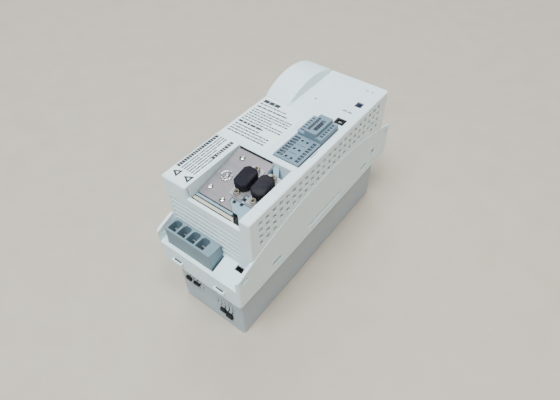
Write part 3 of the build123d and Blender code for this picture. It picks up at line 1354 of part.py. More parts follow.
with BuildPart() as fan_frame:
    with BuildSketch(fan_face):
        RectangleRounded(FAN_SIZE, FAN_SIZE, HOUSING_CORNER)
        Circle(FAN_BORE, mode=Mode.SUBTRACT)
        with GridLocations(FAN_SCREW_SPACING, FAN_SCREW_SPACING, 2, 2):
            Circle(FAN_SCREW_HOLE, mode=Mode.SUBTRACT)
    extrude(amount=FAN_DEPTH)
    with BuildSketch(fan_face.offset(FAN_DEPTH - MOTOR_DISC)):
        Circle(FAN_HUB)
        for angle in (20, 80, 140):
            Rectangle(2 * FAN_BORE + PAST, STRUT, rotation=angle)
        Circle(SHAFT + SHAFT_FIT, mode=Mode.SUBTRACT)
    extrude(amount=MOTOR_DISC)
    with BuildSketch(fan_face.offset(FAN_DEPTH - MOTOR_DISC - BEARING_LENGTH)):
        Circle(SHAFT + BEARING_WALL)
        Circle(SHAFT + SHAFT_FIT, mode=Mode.SUBTRACT)
    extrude(amount=BEARING_LENGTH)
save(fan_frame.part, "fan_frame")

with BuildPart() as fan_clips:
    for x, z, width, height in CLIP_WINDOWS:
        block(
            (x - width / 2 + GAP, x + width / 2 - GAP),
            (-BASE_LENGTH / 2 + GAP, FAN_FRONT_Y),
            (z - height / 2 + GAP, z + height / 2 - GAP),
        )
save(fan_clips.part, "fan_clips")

with BuildPart() as fan_rotor:
    with BuildSketch(fan_face.offset(HUB_START)):
        Circle(FAN_HUB)
    extrude(amount=HUB_DEPTH)
    with BuildSketch(fan_face.offset(HUB_START + HUB_WALL)):
        Circle(FAN_HUB - HUB_WALL)
    extrude(amount=HUB_DEPTH, mode=Mode.SUBTRACT)
    with BuildSketch(fan_face.offset(HUB_START)):
        Circle(SHAFT)
    extrude(amount=FAN_DEPTH - HUB_START - SHAFT_END)
    blade_reach = BLADE_TIP - FAN_HUB + BLADE_SINK
    with Locations(fan_face.offset(HUB_START + HUB_DEPTH / 2)):
        with PolarLocations(BLADE_TIP - blade_reach / 2, FAN_BLADES):
            Box(blade_reach, BLADE_THICKNESS, BLADE_CHORD, rotation=(BLADE_PITCH, 0, 0))
save(fan_rotor.part, "fan_rotor")
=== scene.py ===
import json
import math
import random

import bmesh
import bpy
from mathutils import Matrix, Vector


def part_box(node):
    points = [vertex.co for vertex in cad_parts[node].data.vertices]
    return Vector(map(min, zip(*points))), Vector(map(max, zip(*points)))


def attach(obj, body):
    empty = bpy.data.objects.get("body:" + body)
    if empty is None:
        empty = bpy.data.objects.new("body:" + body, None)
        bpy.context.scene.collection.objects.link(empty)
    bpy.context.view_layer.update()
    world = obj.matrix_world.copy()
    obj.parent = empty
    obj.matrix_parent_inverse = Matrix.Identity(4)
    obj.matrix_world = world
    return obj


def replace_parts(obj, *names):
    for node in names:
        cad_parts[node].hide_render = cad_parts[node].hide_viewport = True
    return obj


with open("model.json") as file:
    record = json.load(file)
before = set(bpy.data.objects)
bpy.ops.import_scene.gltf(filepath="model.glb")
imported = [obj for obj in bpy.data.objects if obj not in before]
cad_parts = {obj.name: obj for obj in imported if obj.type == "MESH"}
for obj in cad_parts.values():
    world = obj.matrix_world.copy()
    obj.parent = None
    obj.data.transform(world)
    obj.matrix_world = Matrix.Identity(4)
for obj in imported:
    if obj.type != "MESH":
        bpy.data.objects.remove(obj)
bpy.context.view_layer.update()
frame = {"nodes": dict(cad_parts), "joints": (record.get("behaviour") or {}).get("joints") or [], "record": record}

# Lengths are in metres, in the frame's own axes: X right, Y along the drive, Z up from its back
MM = 0.001
DRIVE = "drive"


# ---------------------------------------------------------------- places read from the frame

SAME_POINT = 0.001 * MM


def corners_of(points):
    """The lowest and highest corners of the box round some points."""
    return [Vector([pick(point[i] for point in points) for i in range(3)]) for pick in (min, max)]


def islands(name):
    """The boxes of a CAD node's separate solids, as (lowest, highest) corners, sorted by X then Y."""
    bm = bmesh.new()
    bm.from_mesh(frame["nodes"][name].data)
    bmesh.ops.remove_doubles(bm, verts=bm.verts, dist=SAME_POINT)
    seen = set()
    found = []
    for start in bm.verts:
        if start in seen:
            continue
        stack = [start]
        seen.add(start)
        points = []
        while stack:
            vertex = stack.pop()
            points.append(vertex.co.copy())
            for edge in vertex.link_edges:
                other = edge.other_vert(vertex)
                if other not in seen:
                    seen.add(other)
                    stack.append(other)
        found.append(corners_of(points))
    bm.free()
    return sorted(found, key=lambda box: (round(box[0].x, 4), round(box[0].y, 4)))


def joint(name):
    """A joint's entry in the frame."""
    return next(entry for entry in frame["joints"] if entry["name"] == name)


# ---------------------------------------------------------------- materials
# Scales of noise, cells, waves and bricks count per metre.


def colour(red, green, blue):
    return (red, green, blue, 1.0)


def tint(base, factor):
    return colour(*[min(channel * factor, 1.0) for channel in base[:3]])


class Nodes:
    """A material's node tree, with a short call for each kind of node it uses."""

    def __init__(self, name):
        self.material = bpy.data.materials.new(name)
        self.material.use_nodes = True
        self.tree = self.material.node_tree
        self.tree.nodes.clear()
        output = self.tree.nodes.new("ShaderNodeOutputMaterial")
        self.shader = self.tree.nodes.new("ShaderNodeBsdfPrincipled")
        self.tree.links.new(self.shader.outputs[0], output.inputs[0])

    def plug(self, made, key, value):
        """Links a socket to a node's input, or sets the input to a plain value."""
        if isinstance(value, bpy.types.NodeSocket):
            self.tree.links.new(value, made.inputs[key])
        else:
            made.inputs[key].default_value = value

    def plug_named(self, made, inputs):
        """Plugs a node's inputs by name, with _ in place of each space."""
        for key, value in inputs.items():
            self.plug(made, key.replace("_", " "), value)

    def add(self, kind, settings=None, **inputs):
        """Adds a node, sets its options and plugs its inputs."""
        made = self.tree.nodes.new("ShaderNode" + kind)
        for key, value in (settings or {}).items():
            setattr(made, key, value)
        self.plug_named(made, inputs)
        return made

    def finish(self, **inputs):
        """Plugs the shader's inputs and hands over the material."""
        self.plug_named(self.shader, inputs)
        return self.material

    def coordinates(self, scale=(1, 1, 1)):
        """Places on the object, stretched along its axes."""
        place = self.add("TexCoord")
        mapping = self.add("Mapping", Vector=place.outputs["Object"])
        mapping.inputs["Scale"].default_value = scale
        return mapping.outputs[0]

    def noise(self, scale, detail=3.0, rough=0.5, vector=None):
        place = vector or self.coordinates()
        made = self.add("TexNoise", Scale=scale, Detail=detail, Roughness=rough, Vector=place)
        return made.outputs["Fac"]

    def remap(self, value, low, high, to_low=0.0, to_high=1.0):
        """Stretches low to high onto to_low to to_high, and holds the ends beyond them."""
        made = self.add("MapRange")
        for index, number in enumerate((value, low, high, to_low, to_high)):
            self.plug(made, index, number)
        return made.outputs[0]

    def mix(self, factor, first, second):
        """One colour blended into another; the colours are the Mix node's inputs 6 and 7."""
        made = self.add("Mix", {"data_type": "RGBA"})
        for index, value in ((0, factor), (6, first), (7, second)):
            self.plug(made, index, value)
        return made.outputs[2]

    def math(self, operation, first, second):
        made = self.add("Math", {"operation": operation})
        self.plug(made, 0, first)
        self.plug(made, 1, second)
        return made.outputs[0]

    def rounded(self, radius):
        """A normal that rounds sharp edges off, and a mask that is 1 along those edges."""
        bevel = self.add("Bevel", {"samples": 4}, Radius=radius)
        flat = self.add("NewGeometry")
        turned = self.add("VectorMath", {"operation": "DOT_PRODUCT"})
        self.plug(turned, 0, bevel.outputs[0])
        self.plug(turned, 1, flat.outputs["Normal"])
        return bevel.outputs[0], self.remap(turned.outputs["Value"], 0.995, 0.85)

    def bump(self, height, strength, distance, normal=None):
        made = self.add("Bump", Height=height, Strength=strength, Distance=distance)
        if normal is not None:
            self.plug(made, "Normal", normal)
        return made.outputs[0]

    def facing_up(self):
        """1 on faces that look up, 0 on faces that look sideways or down."""
        geometry = self.add("NewGeometry")
        split = self.add("SeparateXYZ", Vector=geometry.outputs["Normal"])
        return self.remap(split.outputs[2], 0.3, 0.95)


DARK_SPECK = colour(0.33, 0.3, 0.26)
PALE_DUST = colour(0.52, 0.5, 0.46)
FLOW_STRETCH = (1.0, 0.25, 2.0)


def moulded(
    name,
    base,
    roughness,
    grain=2200.0,
    depth=0.06 * MM,
    edge=0.4 * MM,
    dust=0.12,
    wear=1.08,
    gloss=0.5,
):
    """Moulded plastic: fine spark-eroded grain, faint flow clouding, dust and rubbed edges.

    grain is the grain's scale and depth its bump, edge is the radius of the edges, dust is how much
    lies on the faces that look up, and wear is how much paler the rubbed edges are.
    """
    made = Nodes(name)
    normal, rim = made.rounded(edge)
    clouds = made.noise(14.0, detail=4.0, rough=0.6)
    flow = made.noise(5.0, detail=2.0, vector=made.coordinates(FLOW_STRETCH))
    shade = made.mix(made.remap(clouds, 0.3, 0.7), tint(base, 0.955), tint(base, 1.03))
    shade = made.mix(made.remap(flow, 0.35, 0.75, 0.0, 0.5), shade, tint(base, 0.975))
    specks = made.remap(made.noise(420.0, rough=0.7), 0.66, 0.74)
    shade = made.mix(made.math("MULTIPLY", specks, dust * 1.6), shade, DARK_SPECK)
    patches = made.remap(made.noise(60.0, detail=5.0, rough=0.65), 0.45, 0.75)
    settled = made.math("MULTIPLY", made.facing_up(), patches)
    shade = made.mix(made.math("MULTIPLY", settled, dust), shade, PALE_DUST)
    rubs = made.remap(made.noise(90.0, detail=4.0, rough=0.6), 0.35, 0.7)
    worn = made.math("MULTIPLY", rim, rubs)
    shade = made.mix(made.math("MULTIPLY", worn, 0.6), shade, tint(base, wear))
    shine = made.remap(made.noise(35.0, rough=0.6), 0.3, 0.7, roughness - 0.06, roughness + 0.09)
    return made.finish(
        Base_Color=shade,
        Roughness=shine,
        Normal=made.bump(made.noise(grain, detail=2.0), 0.35, depth, normal),
        IOR=1.49,
        Specular_IOR_Level=gloss,
    )


def rolled_sheet(name, base, roughness, along):
    """Rolled or brushed sheet metal: streaks in the direction of along's smallest scale, smudges, and a painted
    highlight along the rounded edges.
    """
    made = Nodes(name)
    normal, rim = made.rounded(0.25 * MM)
    streaks = made.noise(1.0, detail=5.0, rough=0.65, vector=made.coordinates(along))
    smudges = made.noise(48.0, detail=4.0, rough=0.6)
    shade = made.mix(made.remap(streaks, 0.3, 0.7), tint(base, 0.88), tint(base, 1.08))
    shade = made.mix(made.remap(smudges, 0.5, 0.8, 0.0, 0.5), shade, tint(base, 0.7))
    # Painted highlight: the rounded edges are coloured brighter.
    shade = made.mix(made.math("MULTIPLY", rim, 0.5), shade, tint(base, 1.35))
    streaky = made.remap(streaks, 0.2, 0.8, roughness - 0.08, roughness + 0.08)
    return made.finish(
        Base_Color=shade,
        Metallic=1.0,
        Roughness=made.math("ADD", streaky, made.remap(smudges, 0.4, 0.8, 0.0, 0.18)),
        Normal=made.bump(streaks, 0.2, 0.03 * MM, normal),
    )


def plated(name, base, roughness=0.16):
    """Bright plating with faint handling marks."""
    made = Nodes(name)
    marks = made.noise(700.0, detail=4.0, rough=0.6)
    clouds = made.noise(160.0)
    return made.finish(
        Base_Color=made.mix(made.remap(clouds, 0.3, 0.7), tint(base, 0.85), tint(base, 1.08)),
        Metallic=1.0,
        Roughness=made.remap(marks, 0.3, 0.75, roughness, roughness + 0.22),
        Normal=made.bump(marks, 0.15, 0.02 * MM),
    )


def hammered(name, base):
    """Bright metal dented all over, so that it sparkles in patches."""
    made = Nodes(name)
    dents = made.add("TexVoronoi", Vector=made.coordinates(), Scale=900.0)
    marks = made.noise(1100.0, detail=4.0, rough=0.7)
    return made.finish(
        Base_Color=made.mix(made.remap(marks, 0.35, 0.7), tint(base, 0.6), tint(base, 1.2)),
        Metallic=1.0,
        Roughness=made.remap(marks, 0.3, 0.7, 0.14, 0.34),
        Normal=made.bump(dents.outputs["Distance"], 0.9, 0.3 * MM),
    )


def circuit_board(name):
    """Green solder mask over copper: raised tracks under the mask, and bare pads."""
    made = Nodes(name)
    place = made.coordinates()
    brick_look = {"offset": 0.37, "squash": 0.7}
    tracks = made.add("TexBrick", brick_look, Vector=place, Scale=160.0, Mortar_Size=0.09)
    pads = made.add("TexVoronoi", Vector=place, Scale=210.0)
    pad_mask = made.remap(pads.outputs["Distance"], 0.22, 0.19)
    mask = made.mix(tracks.outputs["Fac"], colour(0.018, 0.16, 0.06), colour(0.03, 0.25, 0.1))
    mask = made.mix(made.remap(made.noise(50.0), 0.35, 0.7, 0.0, 0.5), mask, colour(0.014, 0.12, 0.05))
    return made.finish(
        Base_Color=made.mix(pad_mask, mask, colour(0.62, 0.6, 0.55)),
        Metallic=made.math("MULTIPLY", pad_mask, 0.8),
        Roughness=made.remap(made.noise(300.0), 0.3, 0.7, 0.28, 0.42),
        Normal=made.bump(tracks.outputs["Fac"], 0.3, 0.05 * MM),
    )


def sleeve(name):
    """A capacitor's dark shrink sleeve, with narrow pale stripes."""
    made = Nodes(name)
    band = made.add("TexWave", {"bands_direction": "X"}, Vector=made.coordinates(), Scale=9.0)
    stripe = made.remap(band.outputs["Fac"], 0.93, 0.97)
    return made.finish(
        Base_Color=made.mix(stripe, colour(0.02, 0.026, 0.06), colour(0.5, 0.52, 0.55)),
        Roughness=made.remap(made.noise(400.0), 0.3, 0.7, 0.24, 0.38),
        Normal=made.bump(made.noise(600.0), 0.1, 0.03 * MM, made.rounded(0.5 * MM)[0]),
    )


def winding(name):
    """Enamelled copper wire, laid side by side, with painted shade in the grooves between the turns."""
    made = Nodes(name)
    turns = made.add("TexWave", {"bands_direction": "Z"}, Vector=made.coordinates(), Scale=230.0)
    # The colour darkens into the grooves between turns: painted shade.
    shade = made.mix(turns.outputs["Fac"], colour(0.22, 0.07, 0.02), colour(0.62, 0.27, 0.09))
    varnish = made.remap(made.noise(80.0), 0.4, 0.7, 0.0, 0.4)
    return made.finish(
        Base_Color=made.mix(varnish, shade, colour(0.2, 0.1, 0.04)),
        Metallic=0.8,
        Roughness=made.remap(made.noise(500.0), 0.3, 0.7, 0.25, 0.4),
        Normal=made.bump(turns.outputs["Fac"], 0.6, 0.2 * MM),
    )


def clear(name):
    """Clear moulded light guide with a faint haze."""
    made = Nodes(name)
    haze = made.noise(500.0, rough=0.6)
    return made.finish(
        Base_Color=made.mix(haze, colour(0.82, 0.88, 0.86), colour(0.92, 0.95, 0.94)),
        Roughness=made.remap(haze, 0.3, 0.7, 0.12, 0.25),
        Transmission_Weight=0.55,
        IOR=1.49,
    )


def ink(name, base):
    """Screen-printed ink, a little uneven in density."""
    made = Nodes(name)
    density = made.noise(1500.0, rough=0.7)
    return made.finish(
        Base_Color=made.mix(made.remap(density, 0.35, 0.7), tint(base, 0.85), tint(base, 1.5)),
        Roughness=made.remap(density, 0.3, 0.7, 0.45, 0.6),
    )


# One material for each of the record's slots
MATERIALS = {
    "cover_white": moulded("cover_plastic", colour(0.7, 0.82, 0.85), 0.5, dust=0.06),
    "housing_white": moulded("housing_plastic", colour(0.67, 0.8, 0.83), 0.5, dust=0.07),
    # The base's plastic is coloured darker than the housing's: painted shade under the housing's overhang.
    "base_white": moulded("base_plastic_painted_shade", colour(0.36, 0.43, 0.48), 0.52),
    "terminal_grey": moulded(
        "terminal_plastic", colour(0.155, 0.225, 0.265), 0.5, dust=0.14, wear=1.6, gloss=0.35
    ),
    "control_grey": moulded(
        "control_plastic", colour(0.15, 0.215, 0.27), 0.5, dust=0.1, wear=1.5, gloss=0.35
    ),
    "carrier_plastic": moulded("carrier_plastic", colour(0.2, 0.315, 0.37), 0.5, dust=0.16, gloss=0.4),
    "black_plastic": moulded(
        "black_plastic", colour(0.006, 0.006, 0.007), 0.6, dust=0.06, wear=2.5, gloss=0.25
    ),
    "cap_plastic": moulded(
        "cap_rubber",
        colour(0.008, 0.007, 0.012),
        0.66,
        grain=1300.0,
        depth=0.08 * MM,
        dust=0.04,
        wear=2.0,
        gloss=0.16,
    ),
    "navy_plastic": moulded(
        "navy_plastic", colour(0.003, 0.007, 0.03), 0.4, dust=0.06, wear=1.5, gloss=0.3
    ),
    "lever_white": moulded("lever_plastic", colour(0.78, 0.78, 0.74), 0.3, dust=0.05),
    "lever_blue": moulded(
        "lever_blue_plastic", colour(0.01, 0.02, 0.07), 0.4, dust=0.05, wear=1.6, gloss=0.3
    ),
    "gasket_foam": moulded(
        "gasket_foam",
        colour(0.5, 0.47, 0.37),
        0.8,
        grain=900.0,
        depth=0.2 * MM,
        edge=0.2 * MM,
        dust=0.2,
        gloss=0.2,
    ),
    "clear_plastic": clear("light_guide"),
    "plate_steel": rolled_sheet("plate_steel", colour(0.31, 0.28, 0.295), 0.5, (22.0, 320.0, 320.0)),
    "screw_steel": plated("screw_plating", colour(0.75, 0.74, 0.72)),
    "brass": plated("jack_screw_plating", colour(0.42, 0.39, 0.31), 0.36),
    "tin": rolled_sheet("tinned_metal", colour(0.4, 0.395, 0.4), 0.34, (90.0, 90.0, 400.0)),
    "sink_aluminium": rolled_sheet(
        "extruded_aluminium", colour(0.6, 0.62, 0.64), 0.38, (700.0, 6.0, 700.0)
    ),
    "board_green": circuit_board("circuit_board"),
    "label_film": moulded(
        "label_film",
        colour(0.75, 0.84, 0.87),
        0.4,
        grain=3000.0,
        depth=0.02 * MM,
        edge=0.05 * MM,
        dust=0.06,
    ),
    "can_sleeve": sleeve("capacitor_sleeve"),
    "copper_winding": winding("copper_winding"),
}
HAMMERED = hammered("hammered_steel", colour(0.7, 0.69, 0.69))
INK = ink("panel_ink", colour(0.012, 0.014, 0.02))
PALE_INK = ink("pale_ink", colour(0.045, 0.05, 0.065))
SOCKET_INSERT = moulded("insert_plastic", colour(0.2, 0.21, 0.22), 0.4, dust=0.1, gloss=0.3)

for subpart in frame["record"]["subparts"]:
    cad_mesh = frame["nodes"][subpart["node"]].data
    cad_mesh.materials.clear()
    cad_mesh.materials.append(MATERIALS[subpart["material_slot"]])
frame["nodes"]["sync_insert"].data.materials[0] = SOCKET_INSERT


# ---------------------------------------------------------------- mesh tools


def finish_mesh(bm, name, slot, body=DRIVE, material=None, smooth=False, weld=0.0):
    """Turns a bmesh into a named piece that rides on a body and shows a record slot's finish."""
    if weld:
        bmesh.ops.remove_doubles(bm, verts=bm.verts, dist=weld)
    bmesh.ops.recalc_face_normals(bm, faces=bm.faces)
    mesh = bpy.data.meshes.new(name)
    bm.to_mesh(mesh)
    bm.free()
    piece = bpy.data.objects.new(name, mesh)
    bpy.context.scene.collection.objects.link(piece)
    mesh.materials.append(material or MATERIALS[slot])
    if smooth:
        mesh.shade_smooth()
    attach(piece, body)
    return piece


def slab(bm, low, high):
    """A closed box between two corners."""
    corners = [
        bm.verts.new((x, y, z))
        for z in (low[2], high[2])
        for x, y in ((low[0], low[1]), (high[0], low[1]), (high[0], high[1]), (low[0], high[1]))
    ]
    for loop in ((3, 2, 1, 0), (4, 5, 6, 7), (0, 1, 5, 4), (1, 2, 6, 5), (2, 3, 7, 6), (3, 0, 4, 7)):
        bm.faces.new([corners[i] for i in loop])


def prism(bm, bottom, top):
    """Closes two loops of vertices into a prism."""
    bm.faces.new(list(reversed(bottom)))
    bm.faces.new(top)
    for i in range(len(bottom)):
        j = (i + 1) % len(bottom)
        bm.faces.new((bottom[i], bottom[j], top[j], top[i]))


def lathe(bm, profile, place, segments, start=0.0):
    """A closed body of revolution: (radius, height) points about the Z axis of a frame."""
    angles = [start + 2 * math.pi * step / segments for step in range(segments)]
    rings = []
    for radius, height in profile:
        if radius < SAME_POINT:
            rings.append([bm.verts.new(place @ Vector((0, 0, height)))])
            continue
        ring = [Vector((radius * math.cos(angle), radius * math.sin(angle), height)) for angle in angles]
        rings.append([bm.verts.new(place @ point) for point in ring])
    for lower, upper in zip(rings, rings[1:]):
        for step in range(segments):
            following = (step + 1) % segments
            if len(lower) == 1:
                bm.faces.new((lower[0], upper[step], upper[following]))
            elif len(upper) == 1:
                bm.faces.new((lower[step], upper[0], lower[following]))
            else:
                bm.faces.new((lower[step], lower[following], upper[following], upper[step]))


def cut(piece, bm):
    """Cuts a closed bmesh out of a piece for good."""
    mesh = bpy.data.meshes.new("cutter")
    bm.to_mesh(mesh)
    bm.free()
    cutter = bpy.data.objects.new("cutter", mesh)
    bpy.context.scene.collection.objects.link(cutter)
    modifier = piece.modifiers.new("cut", "BOOLEAN")
    modifier.object = cutter
    modifier.solver = "EXACT"
    bpy.context.view_layer.update()
    evaluated = piece.evaluated_get(bpy.context.evaluated_depsgraph_get())
    cut_mesh = bpy.data.meshes.new_from_object(evaluated)
    piece.modifiers.clear()
    piece.data = cut_mesh
    bpy.data.objects.remove(cutter)
    bpy.data.meshes.remove(mesh)


def soft_edges(piece, width):
    """Rounds a piece's sharp edges."""
    bevel = piece.modifiers.new("edges", "BEVEL")
    bevel.width = width
    bevel.segments = 2
    bevel.limit_method = "ANGLE"
    bevel.angle_limit = math.radians(35)


# ---------------------------------------------------------------- printed marks on the panel
# Rows of short bars stand in for writing. Distances, heights and lengths in the rows are in mm.

panel_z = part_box("front_cover")[1].z
label_low, label_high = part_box("nameplate")
notice_low, notice_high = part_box("notice_label")
PRINT_DEPTH = 0.03 * MM
SHORT_ROW_CHANCE = 0.25
SHORT_ROW_SHARE = (0.4, 0.8)
print_z = panel_z + (label_high.z - label_low.z) + 0.02 * MM


def printed(name, material, rows, gap=0.6):
    """One piece of printing, with a gap between its bars.

    A row gives its two corners, whether it runs along Y, its height and the range of its bars' lengths.
    """
    bm = bmesh.new()
    for seed, (low, high, along_y, height, lengths) in enumerate(rows, len(name)):
        draw = random.Random(seed)
        start, stop = (low[1], high[1]) if along_y else (low[0], high[0])
        if draw.random() < SHORT_ROW_CHANCE:
            stop = start + (stop - start) * draw.uniform(*SHORT_ROW_SHARE)
        while start < stop:
            end = min(start + draw.uniform(*lengths) * MM, stop)
            if along_y:
                slab(bm, (low[0], start, print_z), (low[0] + height * MM, end, print_z + PRINT_DEPTH))
            else:
                slab(bm, (start, high[1] - height * MM, print_z), (end, high[1], print_z + PRINT_DEPTH))
            start = end + gap * MM
    finish_mesh(bm, name, "black_plastic", material=material)


def nameplate_row(distance, height, lengths, start=1.5, stop=3.0):
    """A row along X, at a distance below the nameplate's far edge."""
    top = label_high.y - distance * MM
    return (label_low.x + start * MM, top), (label_high.x - stop * MM, top), False, height, lengths


def notice_column(distance, height, lengths, start=13.0, stop=2.0):
    """A row along Y, at a distance from the notice's left edge."""
    left = notice_low.x + distance * MM
    return (left, notice_low.y + start * MM), (left, notice_high.y - stop * MM), True, height, lengths


# Heights, and ranges of the bars' lengths
FINE = (1.5, (1.2, 4.5))
SMALL = (1.15, (4.0, 11.0))
printed(
    "nameplate_rows",
    PALE_INK,
    [nameplate_row(distance, *FINE) for distance in (9.5, 19.0, 22.2, 25.6, 29.0, 32.2, 35.6)]
    + [nameplate_row(distance, *FINE, stop=6.0) for distance in (44.0, 47.4, 50.8, 54.2)],
)
printed(
    "nameplate_bold_rows",
    INK,
    [
        nameplate_row(3.2, 4.2, (4.5, 6.0), 2.0, 26.5),
        nameplate_row(14.0, 1.7, (2.5, 6.0), stop=12.0),
        nameplate_row(39.0, 2.4, (2.0, 6.0), stop=6.0),
    ],
)
printed("notice_bold_rows", INK, [notice_column(0.7, 3.4, (1.7, 2.6))], 0.4)
printed(
    "notice_rows",
    PALE_INK,
    [notice_column(distance, *SMALL) for distance in (5.8, 8.4, 11.0, 13.6)]
    + [notice_column(distance, *SMALL, stop=26.0) for distance in (16.2, 18.8)],
)
printed("notice_marks", INK, [notice_column(16.4, 3.6, (1.4, 3.0), 35.0, 1.5)])
printed(
    "panel_marks",
    PALE_INK,
    [((x * MM, 49.6 * MM), ((x + 3.2) * MM, 52.0 * MM), False, 2.1, (1.2, 1.5)) for x in (25.4, 30.6)]
    + [((37.5 * MM, -18.0 * MM), (38.4 * MM, -8.0 * MM), True, 0.8, (1.0, 2.0))],
)


def make_notice_triangles():
    """Two plain triangle outlines at the notice's near end, each pointing left."""
    radius = 4.7 * MM
    angles = [math.radians(180 + 120 * corner) for corner in range(3)]
    centre_y = notice_low.y + 7.5 * MM
    bm = bmesh.new()
    for distance in (7.4, 19.2):
        centre_x = notice_low.x + distance * MM
        outer, inner = [
            [(centre_x + size * math.cos(angle), centre_y + size * math.sin(angle)) for angle in angles]
            for size in (radius, radius * 0.36)
        ]
        for corner in range(3):
            following = (corner + 1) % 3
            band = [outer[corner], outer[following], inner[following], inner[corner]]
            bottom, top = [
                [bm.verts.new((*point, level)) for point in band]
                for level in (print_z, print_z + PRINT_DEPTH)
            ]
            prism(bm, bottom, top)
    finish_mesh(bm, "notice_triangles", "black_plastic", material=INK)


make_notice_triangles()


# ---------------------------------------------------------------- screws on the sloping plate


def slope_frame():
    """A turn whose Z stands off the sloping plate and whose Y runs uphill."""
    normal = Vector(joint("encoder_cap_pull")["axis"]).normalized()
    across = Vector((1, 0, 0))
    return Matrix((across, normal.cross(across), normal)).transposed().to_4x4()


def sloping_boxes(name):
    """The turn to the plate's own directions, and the boxes of a node's separate solids in them."""
    turn = slope_frame()
    back = turn.inverted()
    margin = 10 * SAME_POINT
    boxes = []
    for low, high in islands(name):
        points = [
            back @ vertex.co
            for vertex in frame["nodes"][name].data.vertices
            if all(low[i] - margin < vertex.co[i] < high[i] + margin for i in range(3))
        ]
        boxes.append(corners_of(points))
    return turn, boxes


def make_plate_screws():
    """Round-head screws with a cross slot in each head."""
    head_rise = 1.9 * MM
    slot_long = 3.0 * MM
    slot_wide = 0.6 * MM
    turn, boxes = sloping_boxes("plate_screws")
    for number, (low, high) in enumerate(boxes, 1):
        radius = (high.x - low.x) / 2
        here = turn @ Matrix.Translation(((low.x + high.x) / 2, (low.y + high.y) / 2, high.z - head_rise))
        angles = [math.radians(step) for step in range(0, 90, 9)]
        dome = [
            (radius * math.cos(angle), 0.3 * head_rise + 0.7 * head_rise * math.sin(angle))
            for angle in angles
        ]
        foot = low.z - high.z + head_rise
        shank = radius * 0.5
        bm = bmesh.new()
        lathe(bm, [(0, foot), (shank, foot), (shank, 0), (radius, 0), *dome, (0, head_rise)], here, 48)
        screw = finish_mesh(bm, f"plate_screw_{number}", "screw_steel")
        twist = here @ Matrix.Rotation(0.6 * number, 4, "Z")
        for half_x, half_y in ((slot_long / 2, slot_wide / 2), (slot_wide / 2, slot_long / 2)):
            slot = bmesh.new()
            slab(slot, (-half_x, -half_y, 0.5 * head_rise), (half_x, half_y, 2 * head_rise))
            bmesh.ops.transform(slot, matrix=twist, verts=slot.verts)
            cut(screw, slot)
        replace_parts(screw, "plate_screws")


def make_jack_screws():
    """Hexagonal standoffs with chamfered crowns, threaded mouths and plain shanks."""
    height = 3.4 * MM
    seat_depth = 4.8 * MM
    crown = 0.35 * MM
    bore = 1.3 * MM
    thread = 1.15 * MM
    thread_pitch = 0.5 * MM
    shank = 1.5 * MM
    turn, boxes = sloping_boxes("jack_screws")
    for number, (low, high) in enumerate(boxes, 1):
        across_x = (high.x - low.x) / 2
        across_y = (high.y - low.y) / 2
        corner = max(across_x, across_y)
        start = 0.0 if across_x > across_y else math.pi / 6
        seat = high.z - seat_depth
        here = turn @ Matrix.Translation(((low.x + high.x) / 2, (low.y + high.y) / 2, seat))
        nut = [(0, 0), (corner, 0), (corner, height - crown), (corner - crown, height), (0, height)]
        bm = bmesh.new()
        lathe(bm, nut, here, 6, start)
        jack = finish_mesh(bm, f"jack_screw_{number}", "brass")
        mouth = [(0, height + crown), (1.9 * MM, height + crown), (bore, height - crown)]
        for groove in range(6):
            level = height - crown - groove * thread_pitch
            mouth += [(thread, level - 0.5 * thread_pitch), (bore, level - thread_pitch)]
        bm = bmesh.new()
        lathe(bm, [*mouth, (0, mouth[-1][1])], here, 28)
        bmesh.ops.recalc_face_normals(bm, faces=bm.faces)
        cut(jack, bm)
        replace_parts(jack, "jack_screws")
        foot = low.z - seat
        under_nut = -0.01 * MM
        bm = bmesh.new()
        lathe(bm, [(0, foot), (shank, foot), (shank, under_nut), (0, under_nut)], here, 24)
        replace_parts(finish_mesh(bm, f"jack_shank_{number}", "brass", smooth=True), "jack_screws")


# ---------------------------------------------------------------- fan

HUB_RADIUS = 15.5 * MM
TIP_RADIUS = 27.2 * MM
FAN_DEPTH = 17.0 * MM
HUB_WALL = 1.6 * MM
HUB_ROUND = 1.5 * MM
ROOT_DEPTH = 0.4 * MM
BLADES = 7
STATIONS = 8
CHORD_STEPS = 7
# Degrees between the blade and the rotor's plane
ROOT_PITCH = 52
TIP_PITCH = 36
ROOT_CHORD = 15.0 * MM
CHORD_GROWTH = 3.0 * MM
TIP_SWEEP = 3.0 * MM
CAMBER = 1.6 * MM
HALF_THICKNESS = 0.55 * MM
# The least share of the thickness, squared, that a blade keeps at its front and back edges
EDGE_SHARE = 0.04


def blade_skin(bm, place, side):
    """One side of a blade, as rows of vertices from its root in the hub to its tip."""
    skin = []
    for station in range(STATIONS):
        part = station / (STATIONS - 1)
        radius = HUB_RADIUS - ROOT_DEPTH + part * (TIP_RADIUS - HUB_RADIUS + ROOT_DEPTH)
        pitch = math.radians(ROOT_PITCH + part * (TIP_PITCH - ROOT_PITCH))
        chord = ROOT_CHORD + CHORD_GROWTH * part
        row = []
        for step in range(CHORD_STEPS):
            along = step / (CHORD_STEPS - 1) - 0.5
            fullness = 1 - 4 * along * along
            rise = CAMBER * fullness + HALF_THICKNESS * math.sqrt(max(fullness, EDGE_SHARE)) * side
            swing = along * chord * math.cos(pitch) + rise * math.sin(pitch) + TIP_SWEEP * part
            level = FAN_DEPTH / 2 + along * chord * math.sin(pitch) - rise * math.cos(pitch)
            angle = swing / radius
            point = Vector((radius * math.cos(angle), radius * math.sin(angle), level))
            row.append(bm.verts.new(place @ point))
        skin.append(row)
    return skin


def patch(bm, first, second, step):
    """The face between two rows of vertices, from one step to the next."""
    bm.faces.new((first[step], first[step + 1], second[step + 1], second[step]))


